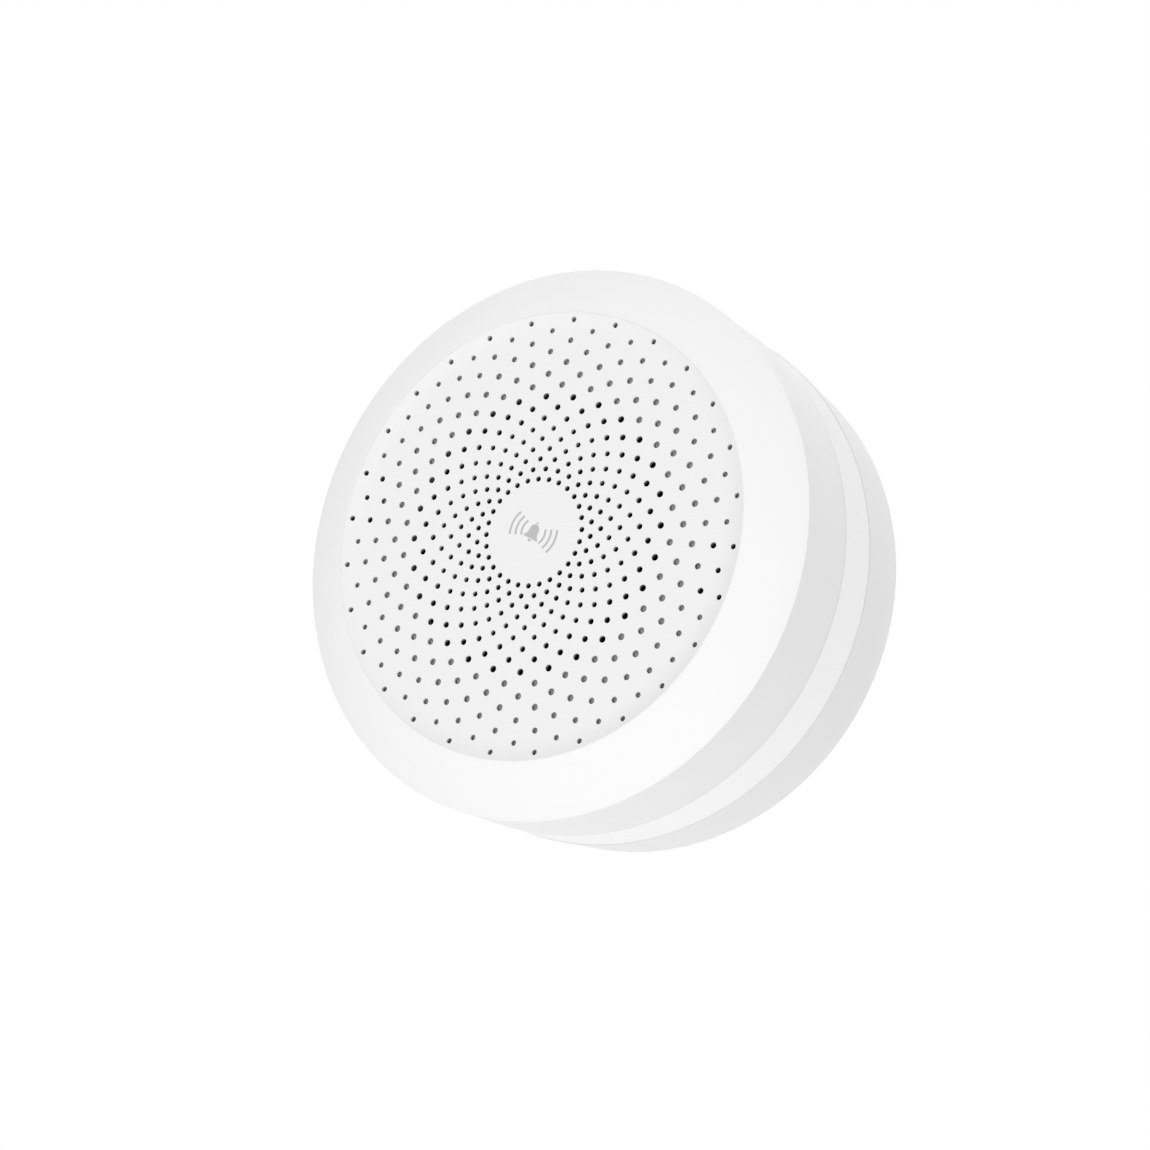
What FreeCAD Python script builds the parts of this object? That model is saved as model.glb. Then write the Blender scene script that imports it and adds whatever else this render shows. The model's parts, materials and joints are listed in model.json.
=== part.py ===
import FreeCAD, Part, Sketcher
import math
import os

# Plug-in alarm siren: a round puck with a perforated speaker grille inside a
# translucent light ring, a belt between two smooth shells, and a two-pin
# mains plug on the rear face.
# Frame: origin at the centre of the rear face, +Y rearward (towards the wall
# socket), the grille faces -Y, +Z up, +X to the right seen from the front.

Vector = FreeCAD.Vector
Rotation = FreeCAD.Rotation
Placement = FreeCAD.Placement
doc = FreeCAD.newDocument("alarm_siren")

# --------------------------------------------------------------- dimensions
# Depths are distances in front of the rear face unless a name says "length",
# "thick" or "radius". "pos" is a distance from the axis. All values are
# millimetres or plain counts. Columns: alias, value, note.
CELLS = [
    ("face_depth", 36.40, "flat of the grille in front of the rear face"),
    ("lip_rise", 0.43, "light ring's inner lip in front of the grille flat"),
    ("ring_inner_radius", 32.28, "light ring, inner edge"),
    ("ring_outer_radius", 40.00, "light ring, outer edge"),
    ("ring_edge_depth", 32.844, "light ring's outer edge"),
    ("ring_bulge_radius", 42.0, "light ring, radius of its convex face"),
    ("ring_skirt_outer", 38.10, "light ring locating skirt, outside"),
    ("ring_skirt_inner", 36.90, "light ring locating skirt, inside"),
    ("collar_outer", 33.90, "light ring inner collar, outside"),
    ("grille_gap", 0.03, "gap between grille and ring"),
    ("grille_flat_radius", 29.0, "grille, radius of its flat"),
    ("grille_rim_rise", 0.40, "grille rim rise to its edge"),
    ("grille_thick", 0.60, "grille thickness at its flat"),
    ("holes_around", 28, "holes in each grille ring"),
    ("ring_a_pos", 7.704, "grille hole rings, innermost first"),
    ("ring_b_pos", 9.177, ""), ("ring_c_pos", 10.656, ""), ("ring_d_pos", 12.145, ""),
    ("ring_e_pos", 13.633, ""), ("ring_f_pos", 15.118, ""), ("ring_g_pos", 16.655, ""),
    ("ring_h_pos", 18.236, ""), ("ring_i_pos", 19.876, ""), ("ring_j_pos", 21.564, ""),
    ("ring_k_pos", 23.250, ""), ("ring_l_pos", 24.936, ""), ("ring_m_pos", 26.578, ""),
    ("ring_n_pos", 28.161, ""), ("ring_o_pos", 29.702, ""), ("ring_p_pos", 31.210, ""),
    ("hole_dia_small", 0.78, "hole diameters, rings a to f and p"),
    ("hole_dia_g", 0.86, ""), ("hole_dia_h", 0.89, ""),
    ("hole_dia_large", 0.97, "rings i to l"),
    ("hole_dia_m", 0.88, ""), ("hole_dia_n", 0.86, ""), ("hole_dia_o", 0.79, ""),
    ("band_front_radius", 40.287, "front shell, radius at the belt"),
    ("band_rear_radius", 40.479, "rear shell, radius at the belt"),
    ("rear_edge_radius", 39.981, "rear shell, radius at the rear edge"),
    ("seam_front_depth", 20.855, "seam between front shell and belt"),
    ("seam_rear_depth", 11.981, "seam between belt and rear shell"),
    ("seam_half", 0.025, "half the seam width"),
    ("belt_recess", 0.10, "belt below the shells' surfaces"),
    ("belt_inner_radius", 38.70, "belt, inside"),
    ("wall_inner_radius", 38.20, "shell walls, inside"),
    ("spigot_outer_radius", 38.60, "front shell spigot under the belt, outside"),
    ("spigot_tip_outer", 38.10, "spigot tip inside the rear shell"),
    ("spigot_inner_radius", 37.20, "front shell spigot, inside"),
    ("spigot_tip_depth", 9.0, "spigot tip"),
    ("shelf_front_depth", 24.5, "front shell shelf, front face"),
    ("shelf_rear_depth", 22.9, "front shell shelf, rear face"),
    ("shelf_inner_radius", 27.0, "front shell shelf opening"),
    ("floor_thick", 2.0, "rear shell floor"),
    ("rear_edge_fillet", 0.5, "rear shell outer edge rounding"),
    ("column_pos", 33.4, "housing screw columns"),
    ("column_radius", 3.0, "housing screw columns"),
    ("column_hole_radius", 1.2, "screw holes in the columns"),
    ("well_inner_radius", 2.6, "screw wells in the rear shell, inside"),
    ("well_outer_radius", 3.6, "screw wells in the rear shell, outside"),
    ("well_seat_depth", 3.2, "screw head seat"),
    ("well_end_depth", 4.6, "screw well end, where the column meets it"),
    ("post_pos", 34.4, "main board posts"),
    ("post_radius", 2.4, "main board posts"),
    ("post_hole_radius", 0.9, "screw holes in both boards' posts"),
    ("board_hole_radius", 1.1, "screw holes in both boards"),
    ("power_post_pos", 25.5, "power board posts"),
    ("baffle_front_depth", 35.76, "speaker baffle plate, front face"),
    ("baffle_rear_depth", 33.20, "speaker baffle plate, rear face"),
    ("baffle_radius", 32.20, "speaker baffle plate"),
    ("baffle_skirt_inner", 30.90, "speaker baffle skirt, inside"),
    ("baffle_screw_pos", 28.9, "screws holding the baffle to the shelf"),
    ("speaker_screw_pos", 23.8, "screws holding the speaker to the baffle"),
    ("flange_front_depth", 26.0, "speaker baffle flange"),
    ("flange_radius", 37.8, "speaker baffle flange"),
    ("mesh_opening_radius", 20.5, "speaker opening, front step"),
    ("horn_opening_radius", 19.2, "speaker opening, rear step"),
    ("mesh_step_depth", 34.4, "step the acoustic mesh sits on"),
    ("mesh_thick", 0.12, "acoustic mesh"),
    ("main_board_front", 16.2, "main board, front face"),
    ("main_board_rear", 14.8, "main board, rear face"),
    ("main_board_radius", 36.6, "main board"),
    ("power_board_front", 5.0, "power board, front face"),
    ("power_board_rear", 3.4, "power board, rear face"),
    ("power_board_radius", 29.0, "power board"),
    ("header_pos", 22.0, "pin header between the boards, towards -X"),
    ("header_hole_radius", 0.52, "header pin holes in both boards"),
    ("pin_half_spacing", 9.5, "plug pins, half the 19 mm spacing"),
    ("pin_radius", 2.0, "plug pins, bare metal"),
    ("pin_core_radius", 1.5, "plug pins under the sleeve"),
    ("sleeve_radius", 1.8, "insulating sleeve"),
    ("boss_length", 17.0, "plug boss behind the rear face"),
    ("boss_end_thick", 2.5, "plug boss end wall"),
    ("pin_tip_length", 36.0, "pin tip behind the rear face"),
    ("pin_bare_start", 27.0, "end of the sleeve behind the rear face"),
    ("boss_half_width", 17.65, "plug boss"),
    ("boss_half_height", 6.85, "plug boss"),
    ("boss_end_half_height", 3.1, "plug boss at its ends"),
    ("button_depth", 16.42, "side button centre"),
    ("button_half_length", 5.5, "side button cap"),
    ("button_half_width", 2.3, "side button cap"),
    ("button_gap", 0.15, "gap around the button cap"),
    ("guide_gap", 0.05, "running clearance of the button flange"),
    ("cable_pos", 34.6, "LED cable and its notches"),
    ("led_pos", 35.0, "ring LEDs"),
    ("led_count", 18, "ring LEDs"),
]


class Value:
    """A number together with the spreadsheet expression that gives it."""

    def __init__(self, number, text=None, bound=False):
        self.number = float(number)
        self.text = text or "%.6f" % self.number
        self.bound = bound

    @staticmethod
    def of(x):
        return x if isinstance(x, Value) else Value(x)

    def combine(self, sign, other, number):
        text = "(%s %s %s)" % (self.text, sign, other.text)
        return Value(number, text, self.bound or other.bound)

    def __float__(self):
        return self.number

    def __add__(self, other):
        other = Value.of(other)
        return self.combine("+", other, self.number + other.number)

    def __sub__(self, other):
        other = Value.of(other)
        return self.combine("-", other, self.number - other.number)

    def __mul__(self, other):
        other = Value.of(other)
        return self.combine("*", other, self.number * other.number)

    def __neg__(self):
        return Value(0.0) - self


class Dims:
    """One attribute per spreadsheet alias."""


dims = Dims()
sheet = doc.addObject("Spreadsheet::Sheet", "dims")
for row, (alias, value, note) in enumerate(CELLS, 1):
    sheet.set("A%d" % row, alias.replace("_", " "))
    sheet.set("B%d" % row, repr(value))
    sheet.set("C%d" % row, note)
    sheet.setAlias("B%d" % row, alias)
    setattr(dims, alias, Value(value, "dims." + alias, True))
doc.recompute()

# Directions about the axis in degrees, from +X towards +Z
DIAGONALS = (45, 135, 225, 315)
POST_ANGLES = (0, 120, 240)
TRIAD_ANGLES = (90, 210, 330)
PORT_ANGLES = (12.857, 192.857)
CABLE_ANGLE = 60

CLEAR = 0.5  # a cut starts this far in front of the face it enters
BOARD_CUT = 3.0  # length of a cut through a circuit board
JOIN = 0.3  # overlap of a column or boss with the wall it stands on
WELD = 0.2  # overlap of a raised feature with the rear shell floor
CABLE_NOTCH = (2.0, 6.4)  # radial and tangential size
HEADER_Z = (-3.81, -1.27, 1.27, 3.81)
LABEL_Z = -22.5
BUTTON_CUT_X = -35.0  # the button openings are cut from here towards -X

# Y of the main planes
grille_y = -dims.face_depth
ring_edge_y = -dims.ring_edge_depth
front_shell_end = -dims.seam_front_depth - dims.seam_half
belt_front = -dims.seam_front_depth + dims.seam_half
belt_rear = -dims.seam_rear_depth - dims.seam_half
rear_shell_front = -dims.seam_rear_depth + dims.seam_half
seat_y = -dims.baffle_rear_depth
board_y = -dims.main_board_front
power_y = -dims.power_board_front
hollow_end = dims.boss_length - dims.boss_end_thick
switch_y = board_y - 1.75

button_flange_width = dims.button_half_width * 2 + 1.8
button_flange_length = dims.button_half_length * 2 + 2.0

PIECES = []


def piece(obj):
    """Mark an object for export under its Label."""
    PIECES.append(obj)
    return obj


# ------------------------------------------------------- properties, sketches
def bind(obj, prop, value):
    value = Value.of(value)
    if value.bound:
        obj.setExpression(prop, value.text)


def drive(obj, prop, value):
    setattr(obj, prop, float(value))
    bind(obj, prop, value)


def new_body(label):
    body = doc.addObject("PartDesign::Body", label)
    body.AllowCompound = True
    return piece(body)


def origin_feature(body, role):
    return [f for f in body.Origin.OriginFeatures if f.Role == role][0]


def new_sketch(body, name, role="XY_Plane", offset=None):
    sketch = body.newObject("Sketcher::SketchObject", body.Label + "_" + name)
    sketch.AttachmentSupport = [(origin_feature(body, role), "")]
    sketch.MapMode = "FlatFace"
    if offset is not None:
        sketch.AttachmentOffset = Placement(Vector(0, 0, float(offset)), Rotation())
        bind(sketch, "AttachmentOffset.Base.z", offset)
    return sketch


def across(body, name, depth):
    """Sketch square to the axis, at a distance in front of the rear face.

    Its local x is +X and its local y is +Z; a pad grows forward (-Y) and a
    pocket cuts rearward (+Y).
    """
    return new_sketch(body, name, "XZ_Plane", depth)


def facing_x(body, name, x):
    """Sketch square to X; local x is +Y, local y is +Z; a pad grows to +X."""
    return new_sketch(body, name, "YZ_Plane", x)


def constrain(sketch, value, *target):
    value = Value.of(value)
    index = sketch.addConstraint(Sketcher.Constraint(*target, value.number))
    bind(sketch, "Constraints[%d]" % index, value)


def pin_point(sketch, geo, pos, x, y):
    """Fix a point's coordinates; a zero puts it on the sketch axis instead."""
    for kind, axis, value in (("DistanceX", -2, x), ("DistanceY", -1, y)):
        if abs(float(value)) < 1e-9:
            sketch.addConstraint(Sketcher.Constraint("PointOnObject", geo, pos, axis))
        else:
            constrain(sketch, value, kind, -1, 1, geo, pos)


def bent_segment(start, end, radius, side):
    """Arc from start to end; returns it with its start and end point numbers."""
    (x0, y0), (x1, y1) = start, end
    dx, dy = x1 - x0, y1 - y0
    chord = math.hypot(dx, dy)
    height = math.sqrt(max(radius * radius - chord * chord / 4.0, 0.0))
    # the centre lies on the side away from the bulge
    cx = (x0 + x1) / 2.0 + side * height * dy / chord
    cy = (y0 + y1) / 2.0 - side * height * dx / chord
    first = math.atan2(y0 - cy, x0 - cx)
    last = math.atan2(y1 - cy, x1 - cx)
    start_point, end_point = 1, 2
    if side > 0:  # clockwise travel, but an arc always runs anticlockwise
        first, last = last, first
        start_point, end_point = 2, 1
    if last < first:
        last += 2 * math.pi
    ring = Part.Circle(Vector(cx, cy, 0), Vector(0, 0, 1), radius)
    return Part.ArcOfCircle(ring, first, last), start_point, end_point


def outline(sketch, points, arcs=None):
    """Closed outline through points; arcs = {index: (radius, side)} bends the
    segment that starts at that point. side +1 bulges to the left of the
    direction of travel, -1 to the right."""
    arcs = arcs or {}
    corners = [(float(x), float(y)) for x, y in points]
    segments = []
    for i, start in enumerate(corners):
        end = corners[(i + 1) % len(corners)]
        if i in arcs:
            radius, side = arcs[i]
            curve, first, last = bent_segment(start, end, float(radius), side)
        else:
            radius, first, last = None, 1, 2
            curve = Part.LineSegment(Vector(*start, 0), Vector(*end, 0))
        segments.append((sketch.addGeometry(curve), first, last, radius))
    for i, (geo, first, last, radius) in enumerate(segments):
        following = segments[(i + 1) % len(segments)]
        sketch.addConstraint(
            Sketcher.Constraint("Coincident", geo, last, following[0], following[1]))
        pin_point(sketch, geo, first, *points[i])
        if radius is not None:
            constrain(sketch, radius, "Radius", geo)


def rect(sketch, x, y, width, height):
    x, y = Value.of(x), Value.of(y)
    a, b = Value.of(width) * 0.5, Value.of(height) * 0.5
    outline(sketch, [(x - a, y - b), (x + a, y - b), (x + a, y + b), (x - a, y + b)])


def round_rect(sketch, x, y, width, height, radius):
    """Rectangle with quarter-round corners."""
    x, y = Value.of(x), Value.of(y)
    a, b = Value.of(width) * 0.5, Value.of(height) * 0.5
    points = [
        (x - a + radius, y - b), (x + a - radius, y - b),
        (x + a, y - b + radius), (x + a, y + b - radius),
        (x + a - radius, y + b), (x - a + radius, y + b),
        (x - a, y + b - radius), (x - a, y - b + radius)]
    outline(sketch, points, {corner: (radius, -1) for corner in (1, 3, 5, 7)})


def turned_rect(sketch, pos, angle, radial, tangential):
    """Rectangle centred at a distance along a direction, square to it."""
    cosine = round(math.cos(math.radians(angle)), 9)
    sine = round(math.sin(math.radians(angle)), 9)
    points = []
    for u, w in ((-1, -1), (1, -1), (1, 1), (-1, 1)):
        out = Value.of(pos) + radial * 0.5 * u
        along = Value(tangential * 0.5 * w)
        points.append((out * cosine - along * sine, out * sine + along * cosine))
    outline(sketch, points)


def circle(sketch, x, y, radius):
    curve = Part.Circle(Vector(float(x), float(y), 0), Vector(0, 0, 1), float(radius))
    geo = sketch.addGeometry(curve)
    pin_point(sketch, geo, 3, x, y)
    constrain(sketch, radius, "Radius", geo)


def polar(radius, angle):
    radius = Value.of(radius)
    turn = math.radians(angle)
    return radius * round(math.cos(turn), 9), radius * round(math.sin(turn), 9)


def arc_slot(sketch, inner, outer, middle, spread):
    """Slot between two radii, spread degrees either side of a direction."""
    low, high = middle - spread, middle + spread
    corners = [polar(inner, low), polar(outer, low), polar(outer, high), polar(inner, high)]
    outline(sketch, corners, {1: (outer, -1), 3: (inner, +1)})


def circles_across(body, name, depth, pos, angles, radius):
    """Sketch square to the axis with equal circles at one distance from it."""
    sketch = across(body, name, depth)
    for angle in angles:
        circle(sketch, *polar(pos, angle), radius)
    return sketch


def slots_across(body, name, depth, inner, outer, angles, spread):
    """Sketch square to the axis with equal arc slots."""
    sketch = across(body, name, depth)
    for angle in angles:
        arc_slot(sketch, inner, outer, angle, spread)
    return sketch


def plug_outline(sketch, inset):
    """Plug boss section, drawn in from its outside by an inset."""
    width = dims.boss_half_width - inset
    height = dims.boss_half_height - inset
    end = dims.boss_end_half_height - inset * 0.62
    top = Value(13.05) - inset * 0.52
    outline(sketch, [(-top, -height), (top, -height), (width, -end), (width, end),
                     (top, height), (-top, height), (-width, end), (-width, -end)])


def axis_line(sketch, x):
    """Construction line parallel to Y, used as the sketch's Axis0."""
    line = Part.LineSegment(Vector(float(x), -80, 0), Vector(float(x), 80, 0))
    geo = sketch.addGeometry(line, True)
    pin_point(sketch, geo, 1, x, -80)
    pin_point(sketch, geo, 2, x, 80)


# ----------------------------------------------------------- body features
def turn(body, sketch, kind="Revolution", axis="V_Axis", label=None):
    feature = body.newObject("PartDesign::" + kind, label or sketch.Label + "_turn")
    feature.Profile = sketch
    feature.ReferenceAxis = (sketch, [axis])
    feature.Angle = 360
    body.Tip = feature
    return feature


def turned_body(label, points, arcs=None):
    """Body turned about the Y axis from (radius, y) points."""
    body = new_body(label)
    sketch = new_sketch(body, "profile")
    outline(sketch, points, arcs)
    turn(body, sketch)
    return body


def extrude(body, kind, sketch, length, label):
    feature = body.newObject("PartDesign::" + kind, label)
    feature.Profile = sketch
    drive(feature, "Length", length)
    body.Tip = feature
    return feature


def pad(body, sketch, length):
    return extrude(body, "Pad", sketch, length, sketch.Label + "_pad")


def pocket(body, sketch, length):
    return extrude(body, "Pocket", sketch, length, sketch.Label + "_cut")


def pattern(body, features, count, axis=None, suffix="_set"):
    """Repeat features around an axis, the Y axis unless another is given."""
    feature = body.newObject("PartDesign::PolarPattern", features[0].Label + suffix)
    feature.Originals = features
    feature.Axis = axis or (origin_feature(body, "Y_Axis"), [""])
    feature.Angle = 360
    feature.Occurrences = int(float(count))
    bind(feature, "Occurrences", count)
    body.Tip = feature


def fillet(body, test, radius):
    """Round the edges of the body's present shape that pass a test."""
    doc.recompute()
    names = ["Edge%d" % i for i, edge in enumerate(body.Shape.Edges, 1) if test(edge)]
    base = body.Tip
    feature = body.newObject("PartDesign::Fillet", body.Label + "_fillet")
    feature.Base = (base, names)
    feature.Radius = radius
    body.Tip = feature
    doc.recompute()


# --------------------------------------------------------------- Part solids
TO_REAR = Rotation(Vector(0, 0, 1), Vector(0, 1, 0))
TO_FRONT = Rotation(Vector(0, 0, 1), Vector(0, -1, 0))
TO_RIGHT = Rotation(Vector(0, 0, 1), Vector(1, 0, 0))
BOX_SIDES = ("Length", "Width", "Height")


def place(obj, point, rotation):
    obj.Placement = Placement(Vector(*[float(c) for c in point]), rotation)
    for axis, coordinate in zip("xyz", point):
        bind(obj, "Placement.Base." + axis, coordinate)


def box(label, size, centre):
    """Box centred on a point, sizes along X, Y, Z."""
    solid = doc.addObject("Part::Box", label)
    for side, length in zip(BOX_SIDES, size):
        drive(solid, side, length)
    place(solid, [Value.of(c) - length * 0.5 for c, length in zip(centre, size)], Rotation())
    return solid


def box_on(face_y, label, size, x, z):
    """Box standing on a board's front face."""
    return box(label, size, (x, face_y - size[1] * 0.5, z))


def turned_box(label, size, pos, angle, y):
    """Box with its sides along the radial, Y and tangential directions."""
    solid = doc.addObject("Part::Box", label)
    for side, length in zip(BOX_SIDES, size):
        drive(solid, side, length)
    rotation = Rotation(Vector(0, 1, 0), -angle)
    corner = rotation.multVec(Vector(float(pos) - size[0] / 2, 0, -size[2] / 2))
    corner.y = float(y) - size[1] / 2
    solid.Placement = Placement(corner, rotation)
    return solid


def rod(label, radius, length, start, rotation=TO_REAR):
    """Cylinder from a start point along a direction."""
    solid = doc.addObject("Part::Cylinder", label)
    drive(solid, "Radius", radius)
    drive(solid, "Height", length)
    place(solid, start, rotation)
    return solid


def cut(label, base, tool):
    obj = doc.addObject("Part::Cut", label)
    obj.Base = base
    obj.Tool = tool
    return obj


def fuse(label, parts):
    obj = doc.addObject("Part::MultiFuse", label)
    obj.Shapes = parts
    return obj


def group(label, parts):
    obj = doc.addObject("Part::Compound", label)
    obj.Links = parts
    return obj


# -------------------------------------------------- grille, ring and housing
# Grille hole rings, innermost first: ring letter, hole diameter alias ending
GRILLE_RINGS = [
    ("a", "small"), ("b", "small"), ("c", "small"), ("d", "small"), ("e", "small"),
    ("f", "small"), ("g", "g"), ("h", "h"), ("i", "large"), ("j", "large"), ("k", "large"),
    ("l", "large"), ("m", "m"), ("n", "n"), ("o", "o"), ("p", "small")]


def front_grille():
    """Shallow dish: flat in the middle, with a concave rim that rises forward
    to the light ring. Every second ring of holes is turned half a pitch."""
    edge = dims.ring_inner_radius - dims.grille_gap
    rise, flat = dims.grille_rim_rise, dims.grille_flat_radius
    rim_radius = (float(edge - flat) ** 2 + float(rise) ** 2) / (2 * float(rise))
    rear_y = grille_y + dims.grille_thick
    body = turned_body("front_grille", [
        (0, grille_y), (flat, grille_y), (edge - 0.12, grille_y - rise + 0.028),
        (edge, grille_y - rise + 0.13), (edge, rear_y), (0, rear_y)],
        {1: (rim_radius, +1), 2: (0.13, -1)})
    sketch = across(body, "holes", dims.face_depth + 2.0)
    half_pitch = 180.0 / float(dims.holes_around)
    for i, (ring, size) in enumerate(GRILLE_RINGS):
        x, y = polar(getattr(dims, "ring_%s_pos" % ring), half_pitch * (i % 2))
        circle(sketch, x, y, getattr(dims, "hole_dia_" + size) * 0.5)
    holes = pocket(body, sketch, 6.0)
    pattern(body, [holes], dims.holes_around, (sketch, ["N_Axis"]), "_ring")


def light_ring():
    """Translucent diffuser: a convex bevel from the grille's rim to the puck's
    front edge, with an inner collar and a locating skirt behind."""
    inner, outer = dims.ring_inner_radius, dims.ring_outer_radius
    lip_y = grille_y - dims.lip_rise
    collar_end, collar_root = -33.40, -34.90
    skirt_root, skirt_end = -33.20, -31.00
    turned_body("light_ring", [
        (inner + 0.06, lip_y),
        (inner, lip_y + 0.06),
        (inner, collar_end),
        (dims.collar_outer, collar_end),
        (dims.collar_outer, collar_root),
        (dims.ring_skirt_inner, skirt_root),
        (dims.ring_skirt_inner, skirt_end),
        (dims.ring_skirt_outer, skirt_end),
        (dims.ring_skirt_outer, ring_edge_y + 0.044),
        (outer, ring_edge_y + 0.044),
        (outer, ring_edge_y - 0.02),
        (outer - 0.10, ring_edge_y - 0.13)],
        {10: (0.14, +1), 11: (dims.ring_bulge_radius, +1)})


def front_housing():
    """Smooth front band, an inner shelf, and a spigot that carries the belt
    and enters the rear shell. Four screw columns and three board posts stand
    on the shelf's rear face."""
    front_y = ring_edge_y + 0.064
    spigot_step = -dims.seam_rear_depth - 0.32
    body = turned_body("front_housing", [
        (dims.ring_outer_radius - 0.02, front_y),
        (dims.band_front_radius, front_shell_end - 0.08),
        (dims.band_front_radius - 0.08, front_shell_end),
        (dims.spigot_outer_radius, front_shell_end),
        (dims.spigot_outer_radius, spigot_step),
        (dims.spigot_tip_outer, spigot_step),
        (dims.spigot_tip_outer, -dims.spigot_tip_depth),
        (dims.spigot_inner_radius, -dims.spigot_tip_depth),
        (dims.spigot_inner_radius, -dims.shelf_rear_depth),
        (dims.shelf_inner_radius, -dims.shelf_rear_depth),
        (dims.shelf_inner_radius, -dims.shelf_front_depth),
        (dims.wall_inner_radius, -dims.shelf_front_depth),
        (dims.wall_inner_radius, front_y)])
    sketch = circles_across(body, "columns", dims.well_end_depth,
                            dims.column_pos, DIAGONALS, dims.column_radius)
    pad(body, sketch, dims.shelf_rear_depth - dims.well_end_depth + JOIN)
    sketch = circles_across(body, "posts", dims.main_board_front,
                            dims.post_pos, POST_ANGLES, dims.post_radius)
    pad(body, sketch, dims.shelf_rear_depth - dims.main_board_front + JOIN)
    # blind screw holes, open at the rear ends of the columns and posts
    sketch = circles_across(body, "column_holes", dims.well_end_depth + 9.0,
                            dims.column_pos, DIAGONALS, dims.column_hole_radius)
    pocket(body, sketch, 10.0)
    sketch = circles_across(body, "post_holes", dims.main_board_front + 5.0,
                            dims.post_pos, POST_ANGLES, dims.post_hole_radius)
    pocket(body, sketch, 6.0)
    shelf_cut = 3.0
    sketch = circles_across(body, "shelf_holes", dims.shelf_front_depth + CLEAR,
                            dims.baffle_screw_pos, TRIAD_ANGLES, radius=1.3)
    pocket(body, sketch, shelf_cut)
    sketch = across(body, "cable_notch", dims.shelf_front_depth + CLEAR)
    turned_rect(sketch, dims.cable_pos, CABLE_ANGLE, *CABLE_NOTCH)
    pocket(body, sketch, shelf_cut)
    sketch = facing_x(body, "button_opening", BUTTON_CUT_X)
    rect(sketch, -dims.button_depth, 0, button_flange_width + dims.guide_gap * 2,
         button_flange_length + dims.guide_gap * 2)
    pocket(body, sketch, 6.0)


def grip_belt():
    """Belt between the two shells, slightly below their surfaces."""
    front_radius = dims.band_front_radius - dims.belt_recess
    rear_radius = dims.band_rear_radius - dims.belt_recess
    bevel = 0.08
    body = turned_body("grip_belt", [
        (dims.belt_inner_radius, belt_front), (front_radius - bevel, belt_front),
        (front_radius, belt_front + bevel), (rear_radius, belt_rear - bevel),
        (rear_radius - bevel, belt_rear), (dims.belt_inner_radius, belt_rear)])
    sketch = facing_x(body, "button_opening", BUTTON_CUT_X)
    round_rect(sketch, -dims.button_depth, 0, (dims.button_half_width + dims.button_gap) * 2,
               (dims.button_half_length + dims.button_gap) * 2, 1.75)
    pocket(body, sketch, 8.0)


def boss_upright(edge):
    """Straight edge along the whole length of the plug boss."""
    if len(edge.Vertexes) != 2 or abs(edge.Length - float(dims.boss_length)) >= 0.01:
        return False
    start, end = [vertex.Point for vertex in edge.Vertexes]
    return abs(start.x - end.x) < 1e-4 and abs(start.z - end.z) < 1e-4


def boss_rim(edge):
    """Edge around the rear end of the plug boss."""
    at_end = all(abs(v.Point.y - float(dims.boss_length)) < 1e-3 for v in edge.Vertexes)
    return at_end and abs(edge.BoundBox.YLength) < 1e-3


def rear_housing():
    """Rear band and floor in one shell, with the plug boss, four screw wells,
    three low board posts and a shallow recess for the blank rating label."""
    wall, floor = dims.wall_inner_radius, dims.floor_thick
    rounding = dims.rear_edge_fillet
    # ring groove in the rear face
    groove_outer, groove_inner, groove_y = 37.5, 36.7, -0.3
    body = turned_body("rear_housing", [
        (wall, rear_shell_front), (dims.band_rear_radius - 0.08, rear_shell_front),
        (dims.band_rear_radius, rear_shell_front + 0.08),
        (dims.rear_edge_radius + 0.02, -rounding),
        (dims.rear_edge_radius - rounding + 0.01, 0),
        (groove_outer, 0), (groove_outer, groove_y), (groove_inner, groove_y), (groove_inner, 0),
        (0, 0), (0, -floor), (wall - 1.0, -floor), (wall, -floor - 1.0)],
        {3: (rounding, -1)})
    sketch = across(body, "boss", -dims.boss_length)
    plug_outline(sketch, 0.0)
    pad(body, sketch, dims.boss_length + floor)
    fillet(body, boss_upright, 1.6)
    fillet(body, boss_rim, 0.8)
    sketch = across(body, "boss_hollow", floor + 0.01)
    plug_outline(sketch, 2.0)
    pocket(body, sketch, dims.boss_length + floor - dims.boss_end_thick)
    sketch = across(body, "pin_holes", -12.0)
    for sign in (-1, 1):
        circle(sketch, dims.pin_half_spacing * sign, 0, dims.sleeve_radius + 0.02)
    pocket(body, sketch, 8.0)

    sketch = circles_across(body, "wells", floor - WELD,
                            dims.column_pos, DIAGONALS, dims.well_outer_radius)
    pad(body, sketch, dims.well_end_depth - floor + 0.18)
    sketch = circles_across(body, "well_bores", dims.well_seat_depth,
                            dims.column_pos, DIAGONALS, dims.well_inner_radius)
    pocket(body, sketch, dims.well_seat_depth + 0.5)
    sketch = circles_across(body, "well_shanks", dims.well_end_depth + CLEAR,
                            dims.column_pos, DIAGONALS, radius=1.4)
    pocket(body, sketch, 3.0)

    sketch = circles_across(body, "board_posts", floor - WELD,
                            dims.power_post_pos, TRIAD_ANGLES, radius=2.5)
    pad(body, sketch, dims.power_board_rear - floor + WELD)
    sketch = circles_across(body, "board_post_holes", dims.power_board_rear + 0.2,
                            dims.power_post_pos, TRIAD_ANGLES, dims.post_hole_radius)
    pocket(body, sketch, 2.7)
    sketch = across(body, "label_recess", 0.35)
    round_rect(sketch, 0, LABEL_Z, width=26.0, height=11.0, radius=1.5)
    pocket(body, sketch, 0.6)


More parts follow.
